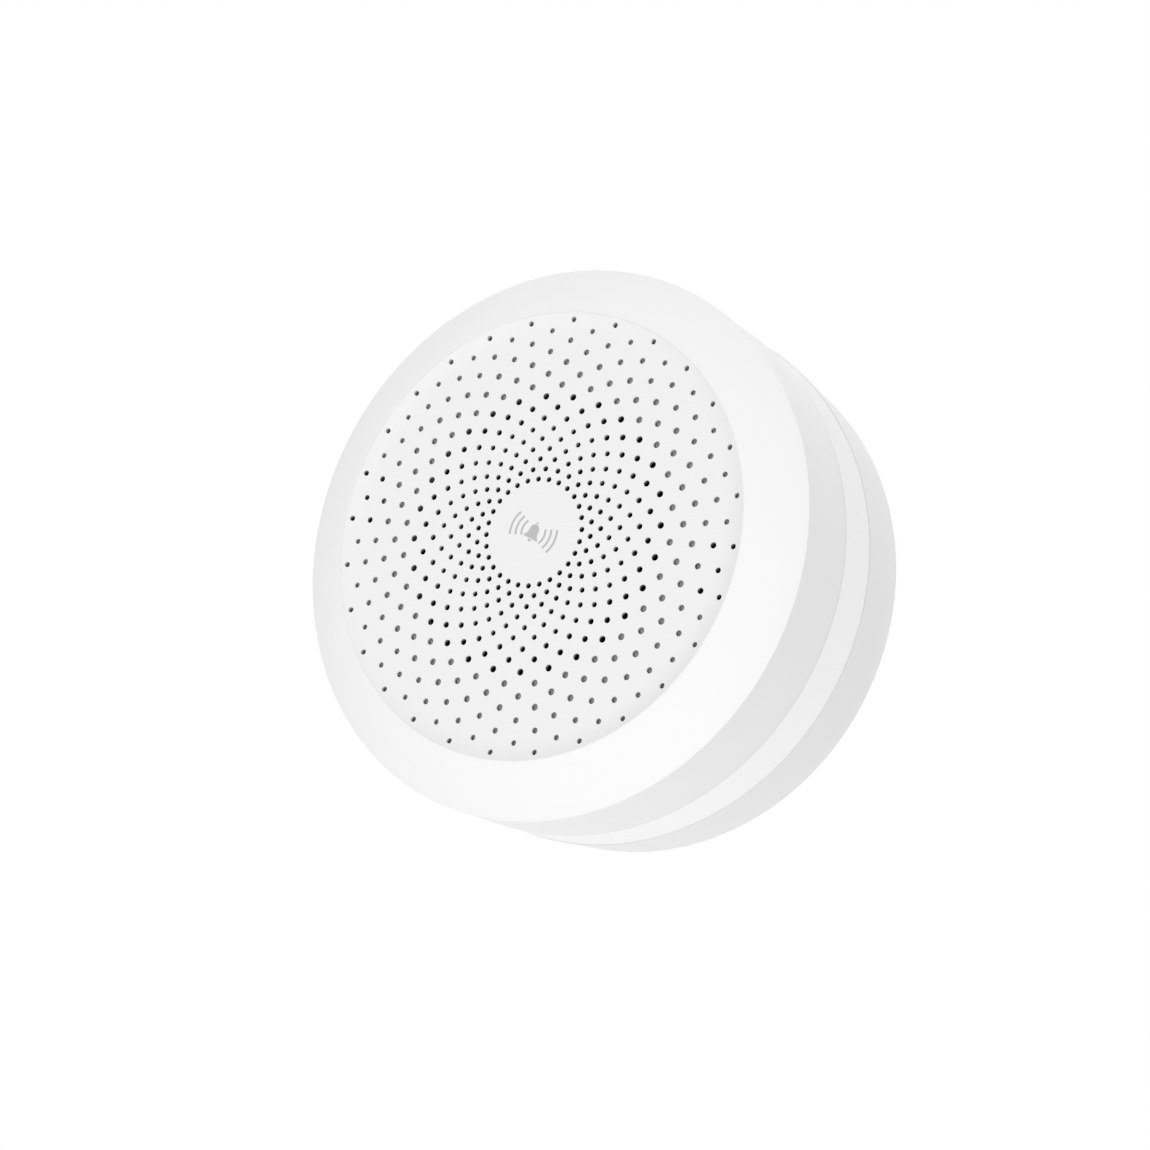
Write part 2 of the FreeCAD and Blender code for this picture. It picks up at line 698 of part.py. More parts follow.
# ------------------------------------------------- speaker baffle and meshes
def speaker_baffle():
    """Plate with a stepped speaker opening, a skirt and a flange on the shelf."""
    front_y = -dims.baffle_front_depth
    flange_depth = dims.shelf_front_depth + 0.1
    flange_y = -dims.shelf_front_depth - 0.1
    body = turned_body("speaker_baffle", [
        (dims.mesh_opening_radius, front_y), (dims.baffle_radius, front_y),
        (dims.baffle_radius, -dims.flange_front_depth),
        (dims.flange_radius, -dims.flange_front_depth),
        (dims.flange_radius, flange_y), (dims.baffle_skirt_inner, flange_y),
        (dims.baffle_skirt_inner, seat_y), (dims.horn_opening_radius, seat_y),
        (dims.horn_opening_radius, -dims.mesh_step_depth),
        (dims.mesh_opening_radius, -dims.mesh_step_depth)])
    sketch = circles_across(body, "flange_bosses", flange_depth,
                            dims.baffle_screw_pos, TRIAD_ANGLES, radius=2.1)
    pad(body, sketch, dims.baffle_rear_depth - dims.shelf_front_depth + JOIN)
    sketch = circles_across(body, "speaker_bosses", dims.baffle_rear_depth - 1.4,
                            dims.speaker_screw_pos, DIAGONALS, radius=2.0)
    pad(body, sketch, 1.6)
    sketch = circles_across(body, "flange_boss_holes", dims.shelf_front_depth + 7.6,
                            dims.baffle_screw_pos, TRIAD_ANGLES, radius=1.0)
    pocket(body, sketch, 8.0)
    sketch = circles_across(body, "speaker_boss_holes", dims.baffle_rear_depth + 1.0,
                            dims.speaker_screw_pos, DIAGONALS, radius=1.0)
    pocket(body, sketch, 3.0)
    # two stepped arc ports beside the speaker opening
    cut_depth = dims.baffle_front_depth + CLEAR
    sketch = slots_across(body, "port_steps", cut_depth, 27.55, 32.9, PORT_ANGLES, spread=8.4)
    pocket(body, sketch, 0.66)
    sketch = slots_across(body, "ports", cut_depth, 28.1, 30.8, PORT_ANGLES, spread=7.4)
    pocket(body, sketch, 4.0)
    sketch = across(body, "cable_notch", dims.flange_front_depth + CLEAR)
    turned_rect(sketch, dims.cable_pos, CABLE_ANGLE, *CABLE_NOTCH)
    pocket(body, sketch, 2.5)


def acoustic_mesh():
    """Disc over the speaker opening and a piece over each port."""
    body = new_body("acoustic_mesh")
    sketch = across(body, "disc", dims.mesh_step_depth)
    circle(sketch, 0, 0, dims.mesh_opening_radius - 0.1)
    pad(body, sketch, dims.mesh_thick)
    sketch = slots_across(body, "port_pieces", dims.baffle_front_depth - 0.16,
                          27.60, 32.15, PORT_ANGLES, spread=8.3)
    pad(body, sketch, dims.mesh_thick)


# ------------------------------------------------------------------ speaker
# Turned speaker pieces: (radius, distance behind the baffle plate) points
SPEAKER_PROFILES = {
    "speaker_gasket": [(19.3, 0), (21.5, 0), (21.5, 0.6), (19.3, 0.6)],
    "coil_former": [(5.10, 5.9), (5.25, 5.9), (5.25, 12.6), (5.10, 12.6)],
    "voice_coil": [(5.26, 9.6), (5.62, 9.6), (5.62, 12.4), (5.26, 12.4)],
    "speaker_cone": [(5.30, 6.2), (5.30, 5.8), (15.4, 0.6), (15.4, 1.0)],
    "speaker_surround": [
        (14.7, 0.94), (15.45, 0.56), (15.75, 0.58), (18.2, 0.58), (19.1, 0.58),
        (19.1, 0.28), (18.45, 0.28), (15.5, 0.28), (14.7, 0.64)],
    "dust_cap": [(0, 2.9), (6.6, 5.08), (6.3, 5.22), (0, 3.2)],
    "top_plate": [(5.9, 10.5), (11.5, 10.5), (11.5, 12.0), (5.9, 12.0)],
    "speaker_magnet": [
        (6.8, 12.0), (12.7, 12.0), (13.0, 12.3), (13.0, 14.2), (12.7, 14.5), (6.8, 14.5)],
    "yoke": [
        (1.2, 10.6), (4.6, 10.6), (4.9, 10.9), (4.9, 14.5), (12.0, 14.5), (12.0, 15.5),
        (11.6, 15.9), (1.2, 15.9)],
}
# Bent segments of those profiles: {index: (radius, side)}
SPEAKER_ARCS = {
    "speaker_surround": {2: (1.40, -1), 6: (1.76, +1)},
    "dust_cap": {0: (11.08, -1), 2: (10.83, +1)},
}
BASKET_PROFILE = [
    (18.2, 0.6), (21.5, 0.6), (21.5, 1.4), (19.2, 1.4), (13.8, 8.8), (12.2, 8.8),
    (12.2, 10.5), (6.4, 10.5), (6.4, 9.7), (11.4, 9.7), (11.4, 8.1), (13.0, 8.1)]
# Front side of the spider's corrugations
SPIDER_WAVES = [(6.8, 7.25), (7.6, 7.75), (8.4, 7.25), (9.2, 7.75), (10.0, 7.25), (10.8, 7.8)]
TERMINAL_X = -20.5
TERMINAL_HALF_PITCH = 2.0


def speaker_body(label, points, arcs=None):
    return turned_body(label, [(radius, seat_y + y) for radius, y in points], arcs)


def speaker_rings():
    """Plain turned pieces, from the gasket back to the yoke."""
    for label, points in SPEAKER_PROFILES.items():
        speaker_body(label, points, SPEAKER_ARCS.get(label))


def speaker_basket():
    """Stepped basket with four windows in its sloping wall."""
    body = speaker_body("speaker_basket", BASKET_PROFILE)
    sketch = slots_across(body, "windows", dims.baffle_rear_depth - 2.4,
                          14.4, 17.6, (0, 90, 180, 270), spread=30)
    pocket(body, sketch, 7.0)


def speaker_spider():
    """Corrugated ring; its rear side repeats the front side's waves."""
    back = [(radius, y + 0.3) for radius, y in SPIDER_WAVES[-2::-1]]
    speaker_body("speaker_spider",
                 [(5.35, 8.1), (5.35, 7.8), (6.2, 7.8)] + SPIDER_WAVES
                 + [(12.9, 7.8), (12.9, 8.08), (10.9, 8.08)] + back + [(6.2, 8.1)])


def speaker_terminals():
    """Strip with two solder tags on the basket's rim."""
    rim_y = seat_y + 1.4
    tag = (1.6, 1.2, 1.4)
    piece(fuse("speaker_terminals", [
        box("terminal_strip", (2.0, 0.8, 7.0), (TERMINAL_X, rim_y + 0.4, 0)),
        box("terminal_tag_a", tag, (TERMINAL_X, rim_y + 1.2, TERMINAL_HALF_PITCH)),
        box("terminal_tag_b", tag, (TERMINAL_X, rim_y + 1.2, -TERMINAL_HALF_PITCH))]))


# ------------------------------------------------------------------- screws
# Columns: label, distance from the axis, head radius, head length, shank
# radius, shank length, y of the head's seat, shank points forward, count,
# direction of the first screw
SCREWS = [
    ("housing_screws", dims.column_pos, 2.3, 1.5, 1.18, 9.5, -dims.well_seat_depth, True, 4, 45),
    ("speaker_screws", dims.speaker_screw_pos, 2.85, 0.9, 0.98, 2.2, seat_y + 1.4, True, 4, 45),
    ("baffle_screws", dims.baffle_screw_pos, 2.0, 1.3, 0.98, 7.0,
     -dims.shelf_rear_depth, True, 3, 90),
    ("main_board_screws", dims.post_pos, 1.9, 1.2, 0.88, 5.5, -dims.main_board_rear, True, 3, 0),
    ("power_board_screws", dims.power_post_pos, 1.8, 1.2, 0.88, 3.6, power_y, False, 3, 90),
]


def screw_set(label, pos, head_radius, head_length, shank_radius, shank_length,
              head_y, forward, count, first_angle):
    """Cross-recess screws on a circle about the axis."""
    body = new_body(label)
    way = -1 if forward else 1  # sense of the shank along Y
    sketch = new_sketch(body, "profile")
    axis_line(sketch, pos)
    top = head_y - way * head_length
    outline(sketch, [
        (pos, head_y + way * shank_length),
        (pos + shank_radius * 0.45, head_y + way * shank_length),
        (pos + shank_radius, head_y + way * (shank_length - 1.0)),
        (pos + shank_radius, head_y), (pos + head_radius, head_y),
        (pos + head_radius, head_y - way * (head_length * 0.55)),
        (pos + head_radius * 0.72, top), (pos, top)])
    shank = turn(body, sketch, axis="Axis0", label=label + "_turn")
    # cross recess in the head: half-width and half-length of its arms
    w, arm = 0.28, head_radius * 0.55
    sketch = across(body, "recess", -(top + way * 0.7))
    cross = [(-w, -arm), (w, -arm), (w, -w), (arm, -w), (arm, w), (w, w),
             (w, arm), (-w, arm), (-w, w), (-arm, w), (-arm, -w), (-w, -w)]
    outline(sketch, [(pos + x, y) for x, y in cross])
    recess = extrude(body, "Pocket", sketch, 1.0, label + "_cross")
    recess.Reversed = not forward
    pattern(body, [shank, recess], count)
    body.Placement = Placement(Vector(0, 0, 0), Rotation(Vector(0, 1, 0), -first_angle))


def screws():
    for row in SCREWS:
        screw_set(*row)


# --------------------------------------------------------------- light parts
LED_BOARD_THICK = 1.0
# (radius, y) points of the trough around the LEDs
REFLECTOR_PROFILE = [
    (32.45, -27.10), (37.7, -27.10), (37.7, -30.9), (36.95, -30.9), (36.65, -27.8),
    (33.5, -27.8), (33.2, -33.3), (32.45, -33.3)]


def led_board():
    body = new_body("led_board")
    sketch = across(body, "ring", dims.flange_front_depth)
    circle(sketch, 0, 0, radius=37.4)
    circle(sketch, 0, 0, radius=32.5)
    pad(body, sketch, LED_BOARD_THICK)


def ring_leds():
    body = new_body("ring_leds")
    sketch = across(body, "led", dims.flange_front_depth + LED_BOARD_THICK)
    rect(sketch, dims.led_pos, 0, width=2.8, height=3.5)
    pattern(body, [pad(body, sketch, 1.4)], dims.led_count)


def led_reflector():
    body = turned_body("led_reflector", REFLECTOR_PROFILE)
    sketch = across(body, "led_window", 29.0)
    rect(sketch, dims.led_pos, 0, width=3.1, height=4.0)
    pattern(body, [pocket(body, sketch, 3.0)], dims.led_count)


# ---------------------------------------------------------------- main board
CONNECTOR_X, CONNECTOR_Z = -20.0, -12.5
SHIELD_Z = 22.5
# Chips on the main board: label, size, x, z
MAIN_CHIPS = [
    ("radio_module", (9.0, 1.1, 7.0), 0, SHIELD_Z),
    ("processor_chip", (10.0, 1.0, 10.0), 21.0, 6.0),
    ("amplifier_chip", (5.0, 1.5, 6.2), 20.0, -14.0),
]
# Small components on the main board: x, z
PASSIVES = [
    (12, 16), (14, 16), (16, 16), (12, 19), (14, 19), (16, 19), (28, 3), (28, 6), (28, 9),
    (14.5, 3), (14.5, 6), (25, -12), (25, -14), (25, -16), (15, -12), (15, -14), (15, -16),
    (-12, 17), (-14, 17), (-16, 17), (6, -20), (8, -20), (10, -20), (-24, 14)]


def header_holes(sketch):
    for z in HEADER_Z:
        circle(sketch, -dims.header_pos, z, dims.header_hole_radius)


def main_board():
    """Disc notched for the screw columns and cut flat beside the button."""
    body = new_body("main_board")
    cut_depth = dims.main_board_front + CLEAR
    sketch = across(body, "disc", dims.main_board_rear)
    circle(sketch, 0, 0, dims.main_board_radius)
    pad(body, sketch, dims.main_board_front - dims.main_board_rear)
    sketch = circles_across(body, "notches", cut_depth,
                            dims.column_pos, DIAGONALS, dims.column_radius + 0.5)
    pocket(body, sketch, BOARD_CUT)
    sketch = across(body, "rim_notches", cut_depth)
    for angle in DIAGONALS:
        turned_rect(sketch, dims.main_board_radius, angle, radial=3.0, tangential=6.6)
    pocket(body, sketch, BOARD_CUT)
    sketch = circles_across(body, "holes", cut_depth,
                            dims.post_pos, POST_ANGLES, dims.board_hole_radius)
    header_holes(sketch)
    pocket(body, sketch, BOARD_CUT)
    sketch = across(body, "button_flat", cut_depth)
    rect(sketch, -37.4, 0, width=3.0, height=15.0)
    pocket(body, sketch, BOARD_CUT)


def main_chips():
    for label, size, x, z in MAIN_CHIPS:
        piece(box_on(board_y, label, size, x, z))


def radio_shield():
    """Pressed-metal screening can, open towards the board."""
    piece(cut("radio_shield", box_on(board_y, "can_outside", (17.0, 2.4, 11.0), 0, SHIELD_Z),
              box("can_inside", (16.4, 2.2, 10.4), (0, board_y - 1.0, SHIELD_Z))))


def board_passives():
    piece(group("board_passives", [
        box_on(board_y, "passive_%02d" % i, (0.85, 0.8, 1.6), x, z)
        for i, (x, z) in enumerate(PASSIVES)]))


def antennas():
    """Two upright strips, each with a slot open towards the board."""
    x, z = 13.0, -26.5
    strips = []
    for i, sign in enumerate((-1, 1)):
        strip = box_on(board_y, "antenna_strip_%d" % i, (10.0, 4.6, 0.3), x * sign, z)
        slot = box("antenna_slot_%d" % i, (7.0, 2.6, 1.0), ((x + 0.8) * sign, board_y - 1.29, z))
        strips.append(cut("antenna_%d" % i, strip, slot))
    piece(group("antennas", strips))


def speaker_connector():
    """Socket open towards the front."""
    outside = box_on(board_y, "socket_outside", (5.6, 4.4, 7.4), CONNECTOR_X, CONNECTOR_Z)
    inside = box("socket_inside", (4.4, 3.4, 6.2), (CONNECTOR_X, board_y - 2.71, CONNECTOR_Z))
    piece(cut("speaker_connector", outside, inside))


def led_connection():
    """Connector on the board and the flat cable standing in front of it."""
    height, cable_length = 2.4, 7.4
    piece(turned_box("led_connector", (3.0, height, 6.0), dims.cable_pos, CABLE_ANGLE,
                     board_y - height / 2))
    piece(turned_box("led_cable", (0.3, cable_length, 5.0), dims.cable_pos, CABLE_ANGLE,
                     board_y - height - cable_length / 2))


def button_switch():
    """Side switch on the board's edge, with its plunger."""
    piece(cut("button_switch", box("switch_case", (3.6, 3.5, 6.0), (-33.6, switch_y, 0)),
              rod("switch_bore", 1.0, 2.0, (-35.4, switch_y, 0), TO_RIGHT)))
    piece(rod("switch_plunger", 0.95, 2.4, (-36.4, switch_y, 0), TO_RIGHT))


def side_button():
    """Cap on the -X side with a crowned face, a flange and a stub that meets
    the switch plunger."""
    body = new_body("side_button")
    crown_radius = dims.band_front_radius + 0.16
    sketch = facing_x(body, "cap", -42.0)
    round_rect(sketch, -dims.button_depth, 0, dims.button_half_width * 2,
               dims.button_half_length * 2, 1.6)
    pad(body, sketch, 4.0)
    sketch = new_sketch(body, "crown")
    outline(sketch, [(crown_radius, -24), (46, -24), (46, -8), (crown_radius, -8)])
    turn(body, sketch, "Groove")
    sketch = facing_x(body, "flange", -38.05)
    rect(sketch, -dims.button_depth, 0, button_flange_width, button_flange_length)
    pad(body, sketch, 1.0)
    sketch = facing_x(body, "stub", -37.2)
    rect(sketch, switch_y, 0, width=1.6, height=3.0)
    pad(body, sketch, 0.78)

    def on_crown(edge):
        middle = edge.valueAt((edge.FirstParameter + edge.LastParameter) / 2)
        points = [vertex.Point for vertex in edge.Vertexes] + [middle]
        return all(abs(math.hypot(p.x, p.z) - float(crown_radius)) < 0.01 for p in points)

    fillet(body, on_crown, 0.3)


# --------------------------------------------------------------- power board
def power_board():
    body = new_body("power_board")
    sketch = across(body, "disc", dims.power_board_rear)
    circle(sketch, 0, 0, dims.power_board_radius)
    pad(body, sketch, dims.power_board_front - dims.power_board_rear)
    sketch = circles_across(body, "holes", dims.power_board_front + CLEAR,
                            dims.power_post_pos, TRIAD_ANGLES, dims.board_hole_radius)
    for sign in (-1, 1):
        circle(sketch, dims.pin_half_spacing * sign, 0, radius=1.05)
    header_holes(sketch)
    pocket(body, sketch, BOARD_CUT)


def transformer():
    """Ferrite frame with a wound bobbin through its two windows."""
    x, z, window_offset = 4.0, 15.0, 3.4
    left, right = x - window_offset, x + window_offset
    middle_y = power_y - 3.6
    window = (2.6, 8.0, 7.4)
    frame = cut("core_frame", box("core_block", (15.0, 6.4, 12.0), (x, middle_y, z)),
                box("core_window_a", window, (left, middle_y, z)))
    piece(cut("transformer_core", frame, box("core_window_b", window, (right, middle_y, z))))
    pillar = (2.4, 7.0, 7.2)
    winding = fuse("winding_all", [
        box("winding_block", (9.2, 5.6, 7.2), (x, middle_y, z)),
        box("winding_foot", (15.6, 0.35, 15.0), (x, power_y - 0.2, z)),
        box("winding_pillar_a", pillar, (left, power_y - 3.5, z)),
        box("winding_pillar_b", pillar, (right, power_y - 3.5, z))])
    centre = box("winding_centre", (4.24, 6.5, 13.0), (x, power_y - 3.62, z))
    piece(cut("transformer_winding", winding, centre))


def capacitor(label, radius, length, x, z):
    """Can on the power board with a crimp groove and rounded end edges."""
    foot_y = power_y - 0.05
    can = rod(label + "_can", radius, length, (x, foot_y, z), TO_FRONT)
    rounded = doc.addObject("Part::Fillet", label + "_round")
    rounded.Base = can
    doc.recompute()
    rounded.Edges = [(i, 0.4, 0.4) for i, edge in enumerate(can.Shape.Edges, 1)
                     if edge.isClosed() and abs(edge.BoundBox.YLength) < 1e-6]
    crimp = doc.addObject("Part::Torus", label + "_crimp")
    crimp.Radius1 = radius + 0.25
    crimp.Radius2 = 0.5
    crimp.Placement = Placement(Vector(x, float(foot_y) - 1.5, z), TO_REAR)
    return cut(label, rounded, crimp)


def capacitors():
    piece(group("input_capacitors", [
        capacitor("input_cap_a", 3.5, 7.2, x=-10.0, z=-14.5),
        capacitor("input_cap_b", 3.5, 7.2, x=-1.5, z=-18.0)]))
    piece(group("output_capacitors", [
        capacitor("output_cap_a", 2.5, 7.0, x=18.0, z=11.0),
        capacitor("output_cap_b", 2.5, 7.0, x=18.0, z=17.0)]))


def power_components():
    """Plain blocks and rods on the power board."""
    piece(box_on(power_y, "bridge_rectifier", (6.0, 2.4, 4.8), 17.5, 1.5))
    piece(box_on(power_y, "controller_chip", (4.0, 1.5, 5.0), -12.5, 9.0))
    piece(rod("fuse_resistor", 1.6, 8.0, (-5.0, power_y - 1.7, -8.5), TO_RIGHT))
    piece(rod("varistor", 3.5, 3.0, (7.5, power_y - 3.6, -9.0), TO_RIGHT))


def line_inductor():
    """Drum with a waist."""
    x, z = 16.0, -8.5
    waist = cut("drum_waist",
                rod("drum_waist_out", 4.0, 4.0, (x, power_y - 1.05, z), TO_FRONT),
                rod("drum_waist_in", 2.6, 4.2, (x, power_y - 0.95, z), TO_FRONT))
    drum = rod("drum", 3.2, 6.0, (x, power_y - 0.05, z), TO_FRONT)
    piece(cut("line_inductor", drum, waist))


def header_rods(name, radius, length, y):
    return [rod("%s_%d" % (name, i), radius, length, (-dims.header_pos, y, z), TO_FRONT)
            for i, z in enumerate(HEADER_Z)]


def header():
    """Four pins between the two boards, in a block on the power board."""
    block = box_on(power_y, "header_block", (2.5, 2.5, 10.2), -dims.header_pos, 0)
    bores = group("header_bores", header_rods("header_bore", 0.46, 4.0, power_y + 0.5))
    piece(cut("header_body", block, bores))
    piece(group("header_pins", header_rods("header_pin", 0.45, 14.6, -2.6)))


def insulation_sheet():
    """Disc behind the main board with a slot for the header."""
    thick = 0.25
    body = new_body("insulation_sheet")
    sketch = across(body, "disc", dims.main_board_rear - thick)
    circle(sketch, 0, 0, radius=29.8)
    rect(sketch, -dims.header_pos, 0, width=2.0, height=10.0)
    pad(body, sketch, thick)


# --------------------------------------------------------------- mains plug
def plug_pins():
    """Two turned pins, each with a collar inside the boss end wall."""
    body = new_body("plug_pins")
    sketch = new_sketch(body, "profile")
    x = dims.pin_half_spacing
    axis_line(sketch, x)
    core, bare, tip = dims.pin_core_radius, dims.pin_radius, dims.pin_tip_length
    collar_radius, tail_radius, shoulder_y = 2.8, 1.0, -1.5
    outline(sketch, [
        (x, tip), (x + bare * 0.25, tip), (x + bare, tip - 1.5),
        (x + bare, dims.pin_bare_start), (x + core, dims.pin_bare_start),
        (x + core, hollow_end - 0.05), (x + collar_radius, hollow_end - 0.05),
        (x + collar_radius, hollow_end - 1.5), (x + core, hollow_end - 1.5),
        (x + core, shoulder_y), (x + tail_radius, shoulder_y),
        (x + tail_radius, power_y - 0.8), (x, power_y - 0.8)], {1: (1.5, +1)})
    pin = turn(body, sketch, axis="Axis0", label="plug_pins_turn")
    pair = body.newObject("PartDesign::Mirrored", "plug_pins_pair")
    pair.Originals = [pin]
    pair.MirrorPlane = (origin_feature(body, "YZ_Plane"), [""])
    body.Tip = pair


def pin_sleeves():
    sleeves = []
    length = dims.pin_bare_start - hollow_end - 0.1
    for i, sign in enumerate((-1, 1)):
        x = dims.pin_half_spacing * sign
        outside = rod("sleeve_out_%d" % i, dims.sleeve_radius, length, (x, hollow_end + 0.05, 0))
        inside = rod("sleeve_in_%d" % i, dims.pin_core_radius + 0.01, 20.0,
                     (x, hollow_end - 1.0, 0))
        sleeves.append(cut("sleeve_%d" % i, outside, inside))
    piece(group("pin_sleeves", sleeves))


def pin_retainer():
    """Block in the boss hollow, in front of the pin collars."""
    body = new_body("pin_retainer")
    sketch = across(body, "block", -(hollow_end - 1.6))
    plug_outline(sketch, 2.15)
    for sign in (-1, 1):
        circle(sketch, dims.pin_half_spacing * sign, 0, radius=1.56)
    pad(body, sketch, 7.0)


def rear_label():
    body = new_body("rear_label")
    sketch = across(body, "plate", 0.10)
    round_rect(sketch, 0, LABEL_Z, width=25.6, height=10.6, radius=1.3)
    pad(body, sketch, 0.24)


def speaker_leads():
    """Two wires from the terminal strip down to the board connector."""
    leads = []
    start_y = float(seat_y)
    for sign, shift in ((1, 0.0), (-1, -1.3)):  # the lower wire bows further to -X
        z_start = TERMINAL_HALF_PITCH * sign
        z_end = CONNECTOR_Z + 1.4 * sign
        points = [
            Vector(TERMINAL_X, start_y + 3.75, z_start),
            Vector(-21.4 + shift, start_y + 6.0, z_start - 0.8),
            Vector(-21.9 + shift, start_y + 9.0, (z_start + z_end) / 2),
            Vector(-21.0 + shift * 0.6, start_y + 11.6, z_end + 1.0),
            Vector(CONNECTOR_X, float(board_y) - 1.2, z_end)]
        path = Part.BSplineCurve()
        path.interpolate(points)
        direction = path.tangent(path.FirstParameter)[0]
        section = Part.Wire([Part.makeCircle(0.5, points[0], direction)])
        leads.append(Part.Wire([path.toShape()]).makePipeShell([section], True, True))
    obj = doc.addObject("Part::Feature", "speaker_leads")
    obj.Shape = Part.makeCompound(leads)
    piece(obj)


# ---------------------------------------------------------- build and export
for build in (
        front_grille, light_ring, front_housing, grip_belt, rear_housing,
        speaker_baffle, acoustic_mesh,
        speaker_rings, speaker_basket, speaker_spider, speaker_terminals, screws,
        led_board, ring_leds, led_reflector,
        main_board, radio_shield, main_chips, board_passives, antennas, speaker_connector,
        led_connection, button_switch, side_button,
        power_board, transformer, capacitors, power_components, line_inductor, header,
        insulation_sheet,
        plug_pins, pin_sleeves, pin_retainer, rear_label, speaker_leads):
    build()
doc.recompute()

failed = [obj.Label for obj in doc.Objects if "Invalid" in obj.State or "Error" in obj.State]
if failed:
    raise RuntimeError("failed objects: " + ", ".join(failed))
for obj in PIECES:
    if obj.Shape.isNull() or not obj.Shape.isValid() or not obj.Shape.Solids:
        raise RuntimeError("bad shape: " + obj.Label)
os.makedirs("parts", exist_ok=True)
for obj in PIECES:
    obj.Shape.exportStep("parts/%s.step" % obj.Label)
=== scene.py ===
import bpy, bmesh, math, json
import numpy as np
from mathutils import Vector, Matrix


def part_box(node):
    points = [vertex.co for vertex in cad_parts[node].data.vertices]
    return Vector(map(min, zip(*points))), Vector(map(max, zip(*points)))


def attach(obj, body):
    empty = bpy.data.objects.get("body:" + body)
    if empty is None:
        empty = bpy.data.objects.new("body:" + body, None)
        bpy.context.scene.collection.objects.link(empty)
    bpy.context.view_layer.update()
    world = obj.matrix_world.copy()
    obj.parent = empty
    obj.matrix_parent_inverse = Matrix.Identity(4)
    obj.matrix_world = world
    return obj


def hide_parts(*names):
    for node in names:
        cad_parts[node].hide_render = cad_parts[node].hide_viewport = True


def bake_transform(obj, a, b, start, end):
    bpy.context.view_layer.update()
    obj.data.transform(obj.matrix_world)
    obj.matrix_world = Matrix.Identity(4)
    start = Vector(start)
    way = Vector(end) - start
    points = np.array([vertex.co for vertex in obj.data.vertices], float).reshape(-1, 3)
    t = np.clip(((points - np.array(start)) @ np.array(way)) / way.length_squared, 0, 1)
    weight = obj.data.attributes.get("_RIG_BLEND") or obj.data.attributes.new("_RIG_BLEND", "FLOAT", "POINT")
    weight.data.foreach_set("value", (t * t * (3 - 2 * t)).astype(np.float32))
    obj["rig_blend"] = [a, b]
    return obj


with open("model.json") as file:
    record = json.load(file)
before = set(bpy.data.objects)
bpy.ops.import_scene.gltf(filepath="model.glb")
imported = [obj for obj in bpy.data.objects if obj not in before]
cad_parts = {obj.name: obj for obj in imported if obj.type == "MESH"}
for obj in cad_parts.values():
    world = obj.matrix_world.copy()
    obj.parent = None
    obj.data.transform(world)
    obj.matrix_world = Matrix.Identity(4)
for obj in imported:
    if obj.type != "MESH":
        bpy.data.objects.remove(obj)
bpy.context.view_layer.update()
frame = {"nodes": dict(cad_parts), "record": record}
N = frame["nodes"]
MM = 0.001
scene = bpy.context.scene

# ============================================================ node materials


